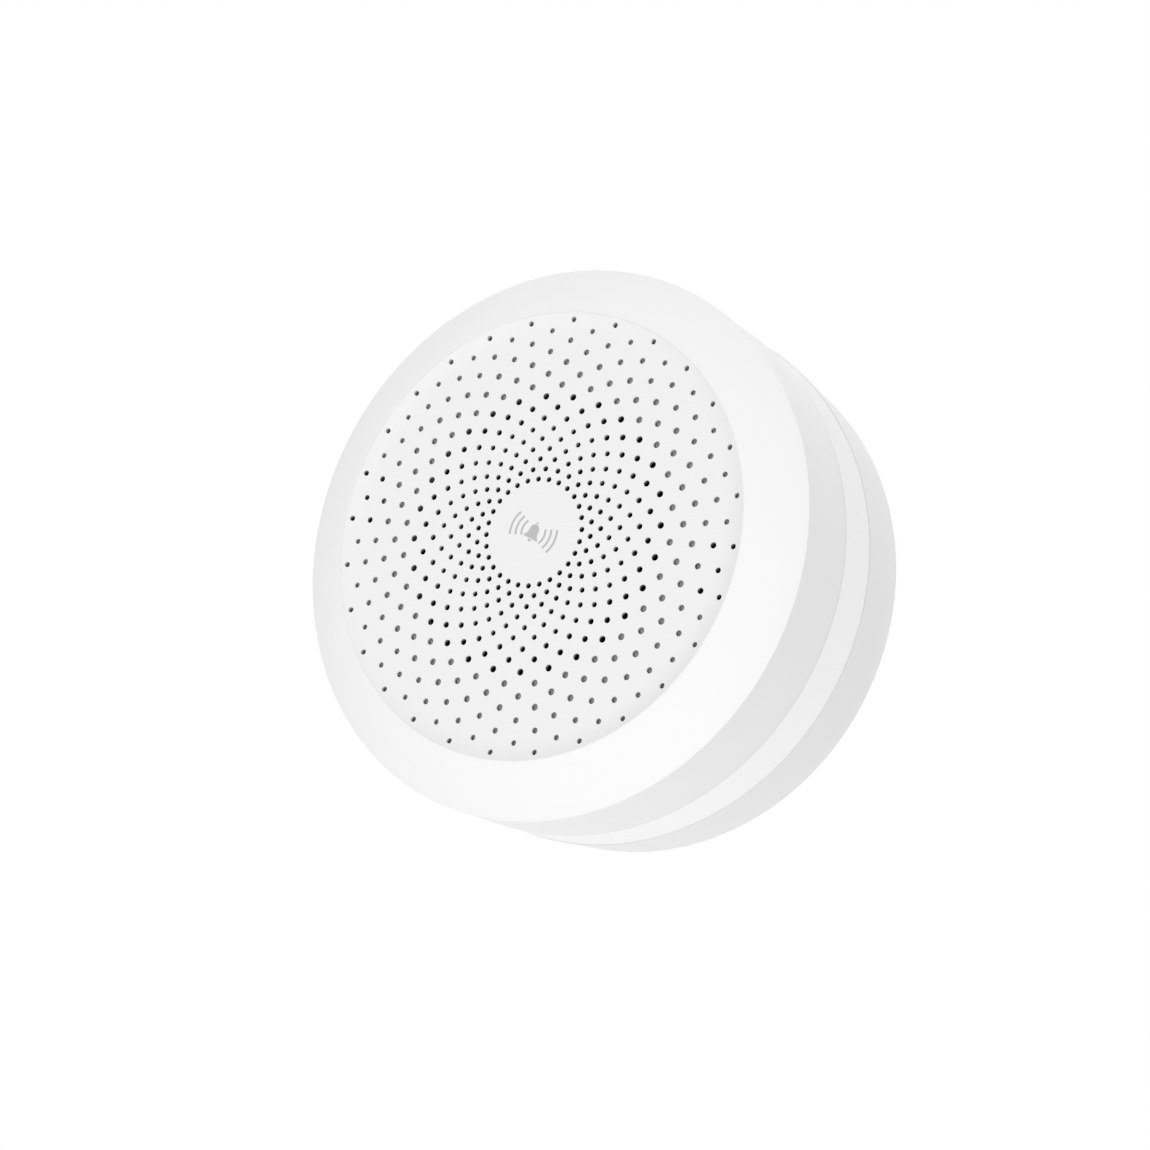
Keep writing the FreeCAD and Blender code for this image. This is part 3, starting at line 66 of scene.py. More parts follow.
class Mat:
    """Small builder for a procedural material around one Principled shader."""

    def __init__(self, name):
        self.m = bpy.data.materials.new(name)
        self.m.use_nodes = True
        self.t = self.m.node_tree
        self.t.nodes.clear()
        self.out = self.t.nodes.new("ShaderNodeOutputMaterial")
        self.bsdf = self.t.nodes.new("ShaderNodeBsdfPrincipled")
        self.t.links.new(self.bsdf.outputs[0], self.out.inputs[0])
        self.co = self.t.nodes.new("ShaderNodeTexCoord").outputs["Object"]

    def node(self, kind, **props):
        n = self.t.nodes.new(kind)
        for k, v in props.items():
            setattr(n, k, v)
        return n

    def put(self, sock, v):
        if isinstance(v, bpy.types.NodeSocket):
            self.t.links.new(v, sock)
        elif v is not None:
            sock.default_value = v
        return sock

    def set(self, **kw):
        for k, v in kw.items():
            self.put(self.bsdf.inputs[k.replace("_", " ")], v)
        return self

    def math(self, op, a, b=None, c=None, clamp=False):
        n = self.node("ShaderNodeMath", operation=op, use_clamp=clamp)
        self.put(n.inputs[0], a)
        if b is not None:
            self.put(n.inputs[1], b)
        if c is not None:
            self.put(n.inputs[2], c)
        return n.outputs[0]

    def vmath(self, op, a, b=None, out=0):
        n = self.node("ShaderNodeVectorMath", operation=op)
        self.put(n.inputs[0], a)
        if b is not None:
            if op == "SCALE":
                self.put(n.inputs["Scale"], b)
            else:
                self.put(n.inputs[1], b)
        return n.outputs[out]

    def noise(self, size_mm, detail=2.0, rough=0.5, co=None, dist=0.0):
        n = self.node("ShaderNodeTexNoise")
        self.put(n.inputs["Vector"], co or self.co)
        n.inputs["Scale"].default_value = 1000.0 / size_mm
        n.inputs["Detail"].default_value = detail
        n.inputs["Roughness"].default_value = rough
        n.inputs["Distortion"].default_value = dist
        return n.outputs["Fac"]

    def cells(self, size_mm, feature="F1", co=None, rand=1.0):
        n = self.node("ShaderNodeTexVoronoi", feature=feature)
        self.put(n.inputs["Vector"], co or self.co)
        n.inputs["Scale"].default_value = 1000.0 / size_mm
        n.inputs["Randomness"].default_value = rand
        return n.outputs["Distance"]

    def ramp(self, fac, lo, hi, a, b):
        n = self.node("ShaderNodeMapRange")
        self.put(n.inputs["Value"], fac)
        n.inputs["From Min"].default_value = lo
        n.inputs["From Max"].default_value = hi
        n.inputs["To Min"].default_value = a
        n.inputs["To Max"].default_value = b
        return n.outputs[0]

    def mix(self, fac, a, b):
        n = self.node("ShaderNodeMix", data_type="RGBA")
        self.put(n.inputs["Factor"], fac)
        self.put(n.inputs[6], a)
        self.put(n.inputs[7], b)
        return n.outputs[2]

    def bump(self, height, depth_um, strength=1.0, normal=None):
        n = self.node("ShaderNodeBump")
        n.inputs["Strength"].default_value = strength
        n.inputs["Distance"].default_value = depth_um * 1e-6
        self.put(n.inputs["Height"], height)
        if normal is not None:
            self.put(n.inputs["Normal"], normal)
        return n.outputs[0]

    def soft_edges(self, radius_mm, samples=4):
        n = self.node("ShaderNodeBevel", samples=samples)
        n.inputs["Radius"].default_value = radius_mm * MM
        return n.outputs[0]

    def edge_mask(self, radius_mm, samples=4):
        """0 on flats, towards 1 near an edge: how far the rounded normal leans."""
        g = self.node("ShaderNodeNewGeometry")
        d = self.vmath("DOT_PRODUCT", self.soft_edges(radius_mm, samples), g.outputs["Normal"], out="Value")
        return self.ramp(d, 1.0, 0.75, 0.0, 1.0)


def grey(v, a=1.0):
    if isinstance(v, (tuple, list)):
        return (v[0], v[1], v[2], 1.0)
    return (v, v, v, 1.0)


def plastic(name, base, rough=0.42, grain_mm=0.12, grain_um=3.0, wave_mm=9.0, vary=0.012, sss=0.08, edge=0.06,
            sheen=0.0, coat=0.0, spec=0.5, worn=0.03):
    """Moulded plastic: fine tool grain, slow tone variation, slight edge polish."""
    m = Mat(name)
    base = base if isinstance(base, (tuple, list)) else (base, base, base)
    lo = tuple(max(0.0, c * (1 - vary)) for c in base)
    hi = tuple(min(1.0, c * (1 + vary)) for c in base)
    tone = m.mix(m.noise(wave_mm, 3.0, 0.6), grey(lo), grey(hi))
    if edge > 0:
        mask = m.edge_mask(edge, 4)
        polished = m.mix(m.math("MULTIPLY", mask, worn * 10, clamp=True), tone, grey(tuple(min(1.0, c * (1 + worn)) for c in base)))
    else:
        mask, polished = 0.0, tone
    fine = m.noise(grain_mm, 4.0, 0.65)
    pits = m.cells(grain_mm * 2.2)
    height = m.math("ADD", m.math("MULTIPLY", fine, 0.7), m.math("MULTIPLY", pits, 0.3))
    r = m.math("ADD", m.ramp(m.noise(3.1, 4.0, 0.7), 0.3, 0.7, rough - 0.035, rough + 0.035),
               m.math("MULTIPLY", m.math("SUBTRACT", fine, 0.5), 0.10))
    if edge > 0:
        r = m.math("SUBTRACT", r, m.math("MULTIPLY", mask, 0.08))
    m.set(Base_Color=polished, Roughness=r,
          Normal=m.bump(height, grain_um, 1.0, m.soft_edges(edge, 4) if edge > 0 else None))
    m.bsdf.inputs["Subsurface Weight"].default_value = sss
    m.bsdf.inputs["Subsurface Radius"].default_value = (1.0, 1.0, 1.0)
    m.bsdf.inputs["Subsurface Scale"].default_value = 0.4 * MM
    m.bsdf.inputs["Specular IOR Level"].default_value = spec
    m.bsdf.inputs["Coat Weight"].default_value = coat
    m.bsdf.inputs["Coat Roughness"].default_value = 0.2
    m.bsdf.inputs["Sheen Weight"].default_value = sheen
    return m


def metal(name, base, rough=0.3, brush=True, along="y", grain_um=1.5, vary=0.08, edge=0.05):
    """Metal with drawn or plated grain, faint blotches and brighter edges."""
    m = Mat(name)
    mp = m.node("ShaderNodeMapping")
    m.put(mp.inputs["Vector"], m.co)
    stretch = {"x": (0.06, 1, 1), "y": (1, 0.06, 1), "z": (1, 1, 0.06)}[along] if brush else (1, 1, 1)
    mp.inputs["Scale"].default_value = stretch
    lines = m.noise(0.09, 4.0, 0.7, co=mp.outputs[0])
    blot = m.noise(1.7, 3.0, 0.6)
    lo = tuple(c * (1 - vary) for c in base)
    hi = tuple(min(1.0, c * (1 + vary)) for c in base)
    tone = m.mix(m.math("MULTIPLY_ADD", lines, 0.5, m.math("MULTIPLY", blot, 0.5)), grey(lo), grey(hi))
    mask = m.edge_mask(edge, 4)
    tone = m.mix(m.math("MULTIPLY", mask, 0.5), tone, grey(tuple(min(1.0, c * 1.2 + 0.05) for c in base)))
    r = m.math("ADD", m.ramp(blot, 0.3, 0.7, rough - 0.05, rough + 0.06), m.math("MULTIPLY", m.math("SUBTRACT", lines, 0.5), 0.2))
    m.set(Base_Color=tone, Metallic=1.0, Roughness=r, Normal=m.bump(lines, grain_um, 1.0, m.soft_edges(edge, 4)))
    return m


def weave(name, base, pitch_mm, rough=0.85, axis_xz=True, depth_um=30.0, gap=None, sheen=0.2):
    """Woven cloth: two sets of threads crossing over and under."""
    m = Mat(name)
    sep = m.node("ShaderNodeSeparateXYZ")
    m.put(sep.inputs[0], m.co)
    k = 2 * math.pi / (pitch_mm * MM)
    jit = m.math("MULTIPLY", m.noise(pitch_mm * 9, 2.0), 0.9)
    a = m.math("SINE", m.math("ADD", m.math("MULTIPLY", sep.outputs["X"], k), jit))
    b = m.math("SINE", m.math("ADD", m.math("MULTIPLY", sep.outputs["Z" if axis_xz else "Y"], k), jit))
    over = m.math("MULTIPLY", a, b)
    threads = m.math("MAXIMUM", m.math("ABSOLUTE", a), m.math("ABSOLUTE", b))
    h = m.math("ADD", m.math("MULTIPLY", over, 0.5), m.math("MULTIPLY", threads, 0.5))
    fuzz = m.noise(pitch_mm * 0.35, 3.0, 0.7)
    tone = m.mix(m.ramp(h, -0.4, 1.0, 0.0, 1.0), grey(tuple(c * 0.45 for c in base)), grey(base))
    tone = m.mix(m.math("MULTIPLY", fuzz, 0.25), tone, grey(tuple(min(1, c * 1.5) for c in base)))
    m.set(Base_Color=tone, Roughness=rough, Normal=m.bump(m.math("ADD", h, m.math("MULTIPLY", fuzz, 0.2)), depth_um))
    m.bsdf.inputs["Sheen Weight"].default_value = sheen
    m.bsdf.inputs["Specular IOR Level"].default_value = 0.2
    return m


def rubber(name, base, rough=0.7, grain_mm=0.2, grain_um=6.0):
    m = Mat(name)
    n = m.noise(grain_mm, 5.0, 0.7)
    blot = m.noise(4.0, 3.0, 0.6)
    tone = m.mix(blot, grey(tuple(c * 0.8 for c in base)), grey(tuple(min(1, c * 1.3 + 0.005) for c in base)))
    m.set(Base_Color=tone, Roughness=m.ramp(n, 0.3, 0.7, rough - 0.08, rough + 0.08),
          Normal=m.bump(n, grain_um, 1.0, m.soft_edges(0.08)))
    m.bsdf.inputs["Specular IOR Level"].default_value = 0.35
    return m


def board(name, mask_rgb, laminate_rgb, copper_rgb=None):
    """Circuit board: solder mask over faint tracks, glass-fibre edge."""
    m = Mat(name)
    g = m.node("ShaderNodeNewGeometry")
    sep = m.node("ShaderNodeSeparateXYZ")
    m.put(sep.inputs[0], g.outputs["Normal"])
    face = m.ramp(m.math("ABSOLUTE", sep.outputs["Y"]), 0.4, 0.6, 0.0, 1.0)
    mp = m.node("ShaderNodeMapping")
    m.put(mp.inputs["Vector"], m.co)
    mp.inputs["Scale"].default_value = (1, 0, 1)
    t = m.node("ShaderNodeTexVoronoi", feature="F1", distance="CHEBYCHEV")
    m.put(t.inputs["Vector"], mp.outputs[0])
    t.inputs["Scale"].default_value = 1000.0 / 3.4
    t.inputs["Randomness"].default_value = 0.85
    rings = m.math("PINGPONG", m.math("MULTIPLY", t.outputs["Distance"], 3.0), 0.5)
    track = m.ramp(rings, 0.20, 0.24, 0.0, 1.0)
    copper = copper_rgb or tuple(min(1, c * 1.45 + 0.02) for c in mask_rgb)
    fibre = m.noise(0.35, 3.0, 0.6)
    tone = m.mix(m.math("MULTIPLY", track, 0.55), grey(mask_rgb), grey(copper))
    tone = m.mix(m.math("MULTIPLY", fibre, 0.15), tone, grey(tuple(c * 0.7 for c in mask_rgb)))
    edge_tone = m.mix(m.noise(0.12, 2.0), grey(laminate_rgb), grey(tuple(c * 0.7 for c in laminate_rgb)))
    m.set(Base_Color=m.mix(face, edge_tone, tone), Roughness=m.ramp(fibre, 0.3, 0.7, 0.26, 0.4),
          Normal=m.bump(track, 18.0, 0.8, m.soft_edges(0.05)))
    m.bsdf.inputs["Coat Weight"].default_value = 0.3
    return m


def wound(name, base, pitch_mm, metallic=0.0, rough=0.4, axis="Y"):
    """Fine wire or tape laid in turns along one axis."""
    m = Mat(name)
    sep = m.node("ShaderNodeSeparateXYZ")
    m.put(sep.inputs[0], m.co)
    k = 2 * math.pi / (pitch_mm * MM)
    turns = m.math("SINE", m.math("MULTIPLY", sep.outputs[axis], k))
    blot = m.noise(0.8, 3.0)
    tone = m.mix(m.ramp(turns, -1, 0.2, 0.0, 1.0), grey(tuple(c * 0.45 for c in base)), grey(base))
    tone = m.mix(m.math("MULTIPLY", blot, 0.3), tone, grey(tuple(min(1, c * 1.25) for c in base)))
    m.set(Base_Color=tone, Metallic=metallic, Roughness=m.ramp(blot, 0.3, 0.7, rough - 0.08, rough + 0.1),
          Normal=m.bump(turns, pitch_mm * 300, 0.7, m.soft_edges(0.05)))
    return m


M = {}


def reg(slot, mat):
    M[slot] = mat.m
    return mat


# ------------------------------------------------ the object's visible finishes
gm = reg("grille_white", plastic("grille_plastic", 0.900, rough=0.52, grain_mm=0.10, grain_um=2.2, vary=0.008, sss=0.0, edge=0))
# painted shade: the corner value 'shade' mixes the hole walls towards near black and lowers their specular
shade = gm.node("ShaderNodeAttribute", attribute_name="shade")
face_tone = gm.bsdf.inputs["Base Color"].links[0].from_socket
gm.set(Base_Color=gm.mix(shade.outputs["Fac"], face_tone, (0.045, 0.045, 0.046, 1)),
       Specular_IOR_Level=gm.ramp(shade.outputs["Fac"], 0.0, 1.0, 0.5, 0.05))
reg("shell_white", plastic("shell_plastic", 0.843, rough=0.36, grain_mm=0.09, grain_um=1.2, vary=0.008, sss=0.0, edge=0.06))
reg("button_white", plastic("button_plastic", 0.870, rough=0.34, grain_mm=0.09, grain_um=1.0, vary=0.010, sss=0.0, edge=0.08))
# painted shade: the inner plastic and the baffle are the white plastic set darker, standing in for the shade behind the
# grille's holes
reg("inner_white", plastic("inner_plastic_painted_shade", 0.62, rough=0.55, grain_mm=0.16, grain_um=4.0, vary=0.03, sss=0.0, edge=0.06))
reg("baffle_grey", plastic("baffle_plastic_painted_shade", 0.42, rough=0.6, grain_mm=0.16, grain_um=4.0, vary=0.03, sss=0.0, edge=0))
reg("mesh_black", weave("acoustic_cloth", (0.012, 0.012, 0.013), 0.16, depth_um=25, sheen=0.0))


def ring_material():
    """Milky diffuser: light enters and spreads; faint flow marks and satin sheen."""
    m = Mat("ring_diffuser")
    cloud = m.noise(7.0, 3.0, 0.55)
    fine = m.noise(0.10, 3.0, 0.6)
    tone = m.mix(cloud, (0.951, 0.951, 0.951, 1), (0.963, 0.963, 0.963, 1))
    m.set(Base_Color=tone, Roughness=m.ramp(cloud, 0.3, 0.7, 0.30, 0.37),
          Normal=m.bump(fine, 0.8))
    m.bsdf.inputs["Subsurface Weight"].default_value = 0.12
    m.bsdf.inputs["Subsurface Radius"].default_value = (1.0, 1.0, 1.0)
    m.bsdf.inputs["Subsurface Scale"].default_value = 0.35 * MM
    m.bsdf.inputs["IOR"].default_value = 1.49
    return m


reg("ring_diffuser", ring_material())


def belt_material():
    """Spark-eroded grain: rounded pits of about a tenth of a millimetre."""
    m = Mat("belt_grain")
    warp = m.noise(0.5, 2.0)
    pits = m.cells(0.21, "SMOOTH_F1")
    pits2 = m.cells(0.12)
    grit = m.noise(0.07, 3.0, 0.7)
    h = m.math("ADD", m.math("MULTIPLY", pits, 0.55), m.math("ADD", m.math("MULTIPLY", pits2, 0.3), m.math("MULTIPLY", grit, 0.25)))
    tone = m.mix(m.ramp(h, 0.2, 0.8, 0.0, 1.0), (0.952, 0.952, 0.953, 1), (0.992, 0.992, 0.993, 1))
    tone = m.mix(m.math("MULTIPLY", warp, 0.15), tone, (0.945, 0.945, 0.947, 1))
    # painted shade: a soft grey band along the front seam, where the belt meets the front shell, stands in for the
    # shadow in the joint
    xyz = m.node("ShaderNodeSeparateXYZ")
    m.put(xyz.inputs[0], m.co)
    y0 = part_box("grip_belt")[0].y
    seam_painted_shade = m.ramp(xyz.outputs[1], y0 + 0.55 * MM, y0 + 0.72 * MM, 1.0, 0.0)
    tone = m.mix(seam_painted_shade, tone, (0.825, 0.825, 0.828, 1))
    m.set(Base_Color=tone, Roughness=m.ramp(h, 0.2, 0.8, 0.68, 0.55), Normal=m.bump(h, 14.0, 0.8, m.soft_edges(0.05)))
    m.bsdf.inputs["Specular IOR Level"].default_value = 0.4
    return m


reg("belt_white", belt_material())

# ---------------------------------------------------------- inside and rear
reg("foam_black", rubber("foam", (0.025, 0.025, 0.026), 0.9, 0.35, 30))
reg("frame_steel", metal("zinc_pressing", (0.56, 0.57, 0.58), 0.34, False))
reg("magnet_ferrite", rubber("ferrite", (0.055, 0.056, 0.06), 0.55, 0.12, 5))
reg("cone_paper", rubber("pressed_paper", (0.035, 0.034, 0.033), 0.85, 0.5, 25))
reg("surround_rubber", rubber("rubber_roll", (0.03, 0.03, 0.03), 0.5, 0.25, 3))
reg("spider_cloth", weave("resin_cloth", (0.62, 0.47, 0.20), 0.45, 0.7))
reg("former_film", plastic("film_amber", (0.62, 0.34, 0.08), 0.3, 0.2, 1, sss=0.2))
reg("copper_wire", wound("copper_turns", (0.72, 0.33, 0.17), 0.16, 1.0, 0.3))
reg("board_phenolic", plastic("phenolic", (0.36, 0.22, 0.10), 0.5, 0.2, 5, vary=0.08, sss=0.0))
reg("lead_insulation", plastic("lead_insulation", (0.45, 0.03, 0.03), 0.35, 0.15, 2, vary=0.04, sss=0.1))
reg("screw_steel", metal("zinc_screw", (0.60, 0.60, 0.61), 0.28, False))
reg("board_white", board("board_white", (0.80, 0.80, 0.78), (0.62, 0.60, 0.45), (0.88, 0.88, 0.86)))
reg("board_green", board("board_green", (0.010, 0.115, 0.050), (0.42, 0.42, 0.22)))
reg("led_package", plastic("led_package", (0.90, 0.86, 0.50), 0.18, 0.2, 1, sss=0.3, coat=0.4))
reg("cable_film", plastic("flat_cable", (0.78, 0.79, 0.80), 0.3, 0.3, 2))
reg("connector_ivory", plastic("connector_ivory", (0.80, 0.76, 0.64), 0.45, 0.15, 3, sss=0.05))
reg("tinned_steel", metal("tinned_sheet", (0.70, 0.70, 0.70), 0.25, True, "x"))
reg("chip_black", rubber("chip_epoxy", (0.030, 0.030, 0.032), 0.5, 0.10, 5))
reg("passive_ceramic", plastic("chip_part", (0.42, 0.30, 0.17), 0.4, 0.1, 2, vary=0.12, sss=0.0))
reg("plunger_plastic", plastic("plunger_plastic", (0.72, 0.72, 0.70), 0.4))
reg("insulation_film", plastic("insulation_film", (0.78, 0.76, 0.66), 0.5, 0.4, 6, vary=0.05))
reg("pin_gold", metal("gold_flash", (0.83, 0.62, 0.25), 0.25))
reg("winding_tape", wound("winding_tape", (0.85, 0.66, 0.08), 1.2, 0.0, 0.35))
reg("cap_sleeve", plastic("cap_sleeve", (0.035, 0.045, 0.10), 0.25, 0.3, 1, vary=0.1, sss=0.0, coat=0.3))
reg("resistor_body", plastic("resistor_body", (0.10, 0.30, 0.17), 0.35, 0.3, 8, vary=0.06, sss=0.0))
reg("varistor_blue", plastic("varistor_blue", (0.03, 0.12, 0.42), 0.25, 0.6, 15, vary=0.05, sss=0.0, coat=0.3))
reg("pin_nickel", metal("nickel_plate", (0.70, 0.68, 0.65), 0.2, True, "y", 0.8, 0.05))
reg("sleeve_grey", plastic("sleeve_grey", 0.74, 0.42, 0.12, 2, vary=0.01))
reg("label_film", plastic("label_film", 0.66, 0.30, 0.25, 1.5, vary=0.02, sss=0.0, edge=0.04))

def smooth_normals(me, angle_deg):
    """Corner normals averaged over faces that meet at nearly the same angle.
    The vertices stay where they are; only the shading is smoothed."""
    nv, nl, nf = len(me.vertices), len(me.loops), len(me.polygons)
    co = np.empty(nv * 3, np.float32)
    me.vertices.foreach_get("co", co)
    key = np.round(co.reshape(-1, 3).astype(np.float64) * 1e7).astype(np.int64)
    _, point = np.unique(key, axis=0, return_inverse=True)
    point = point.reshape(-1)
    lv = np.empty(nl, np.int32)
    me.loops.foreach_get("vertex_index", lv)
    fn, fa, ft = np.empty(nf * 3, np.float32), np.empty(nf, np.float32), np.empty(nf, np.int32)
    me.polygons.foreach_get("normal", fn)
    me.polygons.foreach_get("area", fa)
    me.polygons.foreach_get("loop_total", ft)
    fn = fn.reshape(-1, 3).astype(np.float64)
    face = np.repeat(np.arange(nf), ft)
    # weight of a corner: the angle it spans, so long thin triangles don't tilt the result
    start = np.concatenate([[0], np.cumsum(ft)[:-1]])
    nxt = np.arange(nl) + 1
    nxt[start + ft - 1] = start
    prv = np.arange(nl) - 1
    prv[start] = start + ft - 1
    P = co.reshape(-1, 3).astype(np.float64)[lv]
    e1, e2 = P[nxt] - P, P[prv] - P
    e1 /= np.linalg.norm(e1, axis=1, keepdims=True) + 1e-15
    e2 /= np.linalg.norm(e2, axis=1, keepdims=True) + 1e-15
    wt = np.arccos(np.clip((e1 * e2).sum(1), -1, 1)) + 1e-6
    pt = point[lv]
    order = np.argsort(pt, kind="stable")
    counts = np.bincount(pt, minlength=pt.max() + 1)
    first = np.concatenate([[0], np.cumsum(counts)[:-1]])
    out = np.zeros((nl, 3))
    cosl = math.cos(math.radians(angle_deg))
    # every corner against every other corner at the same point, in blocks
    for lo in range(0, nl, 20000):
        c = np.arange(lo, min(nl, lo + 20000))
        k = counts[pt[c]]
        a = np.repeat(c, k)
        off = np.arange(len(a)) - np.repeat(np.concatenate([[0], np.cumsum(k)[:-1]]), k)
        b = order[np.repeat(first[pt[c]], k) + off]
        na, nb = fn[face[a]], fn[face[b]]
        ok = (na * nb).sum(1) > cosl
        np.add.at(out, a[ok], nb[ok] * wt[b[ok], None])
    ln = np.linalg.norm(out, axis=1, keepdims=True)
    out = np.where(ln > 1e-9, out / np.maximum(ln, 1e-9), fn[face])
    me.shade_smooth()
    me.normals_split_custom_set(out.astype(np.float32).tolist())


slot_of = {s["node"]: s["material_slot"] for s in frame["record"]["subparts"]}
for name, o in N.items():
    o.data.materials.clear()
    o.data.materials.append(M[slot_of[name]])
    o.data.polygons.foreach_set("material_index", np.zeros(len(o.data.polygons), np.int32))
    smooth_normals(o.data, 30.0)
# painted shade: the rear shell gets a darker copy of the shell plastic, standing in for the light falling off towards
# the back
N["rear_housing"].data.materials[0] = plastic("rear_shell_painted_shade_plastic", 0.795, rough=0.38, grain_mm=0.09, grain_um=1.2,
                                              vary=0.008, sss=0.0, edge=0.06).m

# ===================================================================== meshes


def mesh_object(name, verts, faces, normals=None, material=None, body="enclosure", values=None):
    """Closed mesh: points at one place are joined, and each corner of a face
    keeps the normal (and the value) of the point it was made with."""
    key = {}
    index, places = [], []
    for v in verts:
        k = tuple(int(round(c * 1e9)) for c in v)
        if k not in key:
            key[k] = len(places)
            places.append(tuple(v))
        index.append(key[k])
    joined, corners = [], []
    for f in faces:
        keep = [v for i, v in enumerate(f) if index[v] != index[f[i - 1]]]
        if len(keep) > 2:
            joined.append([index[v] for v in keep])
            corners.extend(keep)
    me = bpy.data.meshes.new(name)
    me.from_pydata(places, [], joined)
    if len(me.loops) != len(corners) or me.validate(clean_customdata=False):
        raise RuntimeError("mesh changed: " + name)
    me.shade_smooth()
    if values is not None:
        att = me.attributes.new("shade", "FLOAT", "CORNER")
        att.data.foreach_set("value", np.array([values[v] for v in corners], np.float32))
    if normals is not None:
        me.normals_split_custom_set([tuple(normals[v]) for v in corners])
    o = bpy.data.objects.new(name, me)
    scene.collection.objects.link(o)
    if material:
        me.materials.append(material)
    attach(o, body)
    return o


def rounded(pts, radii, steps=4):
    """Profile points with rounded corners. Returns (r, y, nr, ny) per point,
    with exact normals; corners with radius 0 are given twice. The outline is
    travelled with the solid on the left, so normals point to the right."""
    out = []
    n = len(pts)
    for i in range(n):
        p0, p1, p2 = Vector(pts[i - 1]), Vector(pts[i]), Vector(pts[(i + 1) % n])
        a, b = (p1 - p0).normalized(), (p2 - p1).normalized()
        na, nb = Vector((a.y, -a.x)), Vector((b.y, -b.x))
        r = radii[i] if isinstance(radii, (list, tuple)) else radii
        turn = a.x * b.y - a.y * b.x
        ang = math.atan2(turn, a.dot(b))
        if abs(ang) < 1e-4:
            out.append((p1.x, p1.y, na.x, na.y))
            continue
        if r <= 0:
            out.append((p1.x, p1.y, na.x, na.y))
            out.append((p1.x, p1.y, nb.x, nb.y))
            continue
        cut = min(r * math.tan(abs(ang) / 2), 0.49 * (p1 - p0).length, 0.49 * (p2 - p1).length)
        r = cut / math.tan(abs(ang) / 2)
        s = 1.0 if ang > 0 else -1.0
        c = p1 - a * cut - na * r * s
        for k in range(steps + 1):
            t = ang * k / steps
            d = Vector((na.x * math.cos(t) - na.y * math.sin(t), na.x * math.sin(t) + na.y * math.cos(t)))
            q = c + d * r * s
            out.append((q.x, q.y, d.x, d.y))
    return out


def arc_points(p, q, radius, side, steps):
    """Points strictly between p and q on an arc that bulges to a side."""
    p, q = Vector(p), Vector(q)
    d = q - p
    k = math.sqrt(max(radius * radius - d.length_squared / 4, 0.0))
    nrm = Vector((-d.y, d.x)).normalized()
    c = (p + q) / 2 - nrm * side * k
    a0 = math.atan2(p.y - c.y, p.x - c.x)
    a1 = math.atan2(q.y - c.y, q.x - c.x)
    while a1 - a0 > math.pi:
        a1 -= 2 * math.pi
    while a1 - a0 < -math.pi:
        a1 += 2 * math.pi
    return [(c.x + radius * math.cos(a0 + (a1 - a0) * i / steps), c.y + radius * math.sin(a0 + (a1 - a0) * i / steps))
            for i in range(1, steps)]


def lathe(name, prof, segs, material, body="enclosure"):
    """Closed ring turned about the Y axis from (r, y, nr, ny) points in mm."""
    verts, norms, faces = [], [], []
    m = len(prof)
    for j in range(segs):
        a = 2 * math.pi * j / segs
        c, s = math.cos(a), math.sin(a)
        for r, y, nr, ny in prof:
            verts.append((r * c * MM, y * MM, r * s * MM))
            norms.append((nr * c, ny, nr * s))
    for j in range(segs):
        k = (j + 1) % segs
        for i in range(m):
            h = (i + 1) % m
            a, b = prof[i], prof[h]
            if abs(a[0] - b[0]) < 1e-7 and abs(a[1] - b[1]) < 1e-7:
                continue
            faces.append((j * m + i, j * m + h, k * m + h, k * m + i))
    o = mesh_object(name, verts, faces, norms, material, body)
    return o


def box_mm(node):
    lo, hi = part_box(node)
    return lo / MM, hi / MM


# Sizes read from the frame
g_lo, g_hi = box_mm("front_grille")
r_lo, r_hi = box_mm("light_ring")
b_lo, b_hi = box_mm("grip_belt")
f_lo, f_hi = box_mm("front_housing")

GR = g_hi.x                       # grille edge radius
GF = g_lo.y                       # foremost point of the grille rim
GB = g_hi.y                       # back of the grille
FLAT = GF + 0.372                 # flat face of the grille
RIM0 = 29.3                       # where the flat turns up into the rim

# ---------------------------------------------------------------- light ring
# convex milky bevel with finely rounded edges; same section as the CAD ring
ro = r_hi.x
edge_y = r_hi.y - 1.80            # rim height behind the crisp front edge
front = r_lo.y
ri = GR + 0.005
A = (ri, front)
B = (ro, edge_y - 0.045)
curve = arc_points((ri + 0.05, front), (ro - 0.02, edge_y - 0.10), 42.0, -1, 18)
section = [(ri, front), *curve, (ro, edge_y - 0.075), (ro, edge_y), (38.10, edge_y), (38.10, -31.0), (36.90, -31.0),
           (36.90, -33.20), (33.90, -34.90), (33.90, -33.40), (ri, -33.40)]
rad = [0.02] + [0] * len(curve) + [0.10, 0.03, 0.1, 0.15, 0.15, 0.2, 0.2, 0.15, 0.15]
# the curve's own points are smooth: give them averaged normals
prof = []
n = len(section)
base = rounded(section, rad, 4)


def smooth_doubles(prof, cos_limit=0.995):
    out = []
    i = 0
    while i < len(prof):
        p = prof[i]
        q = prof[(i + 1) % len(prof)]
        if abs(p[0] - q[0]) < 1e-7 and abs(p[1] - q[1]) < 1e-7 and p[2] * q[2] + p[3] * q[3] > cos_limit:
            v = Vector((p[2] + q[2], p[3] + q[3])).normalized()
            out.append((p[0], p[1], v.x, v.y))
            i += 2
        else:
            out.append(p)
            i += 1
    return out


ring = lathe("light_ring_diffuser", smooth_doubles(base), 360, M["ring_diffuser"])
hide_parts("light_ring")


# ------------------------------------------------------------------- grille
# thin moulded plate: flat in the middle, a small upturned rim, 16 rings of 28
# round holes set half a pitch apart from ring to ring, each with a soft rim
RINGS = [(7.704, 0.39), (9.177, 0.39), (10.656, 0.39), (12.145, 0.39), (13.633, 0.39), (15.118, 0.39), (16.655, 0.43),
         (18.236, 0.445), (19.876, 0.485), (21.564, 0.485), (23.250, 0.485), (24.936, 0.485), (26.578, 0.44),
         (28.161, 0.43), (29.702, 0.395), (31.210, 0.39)]
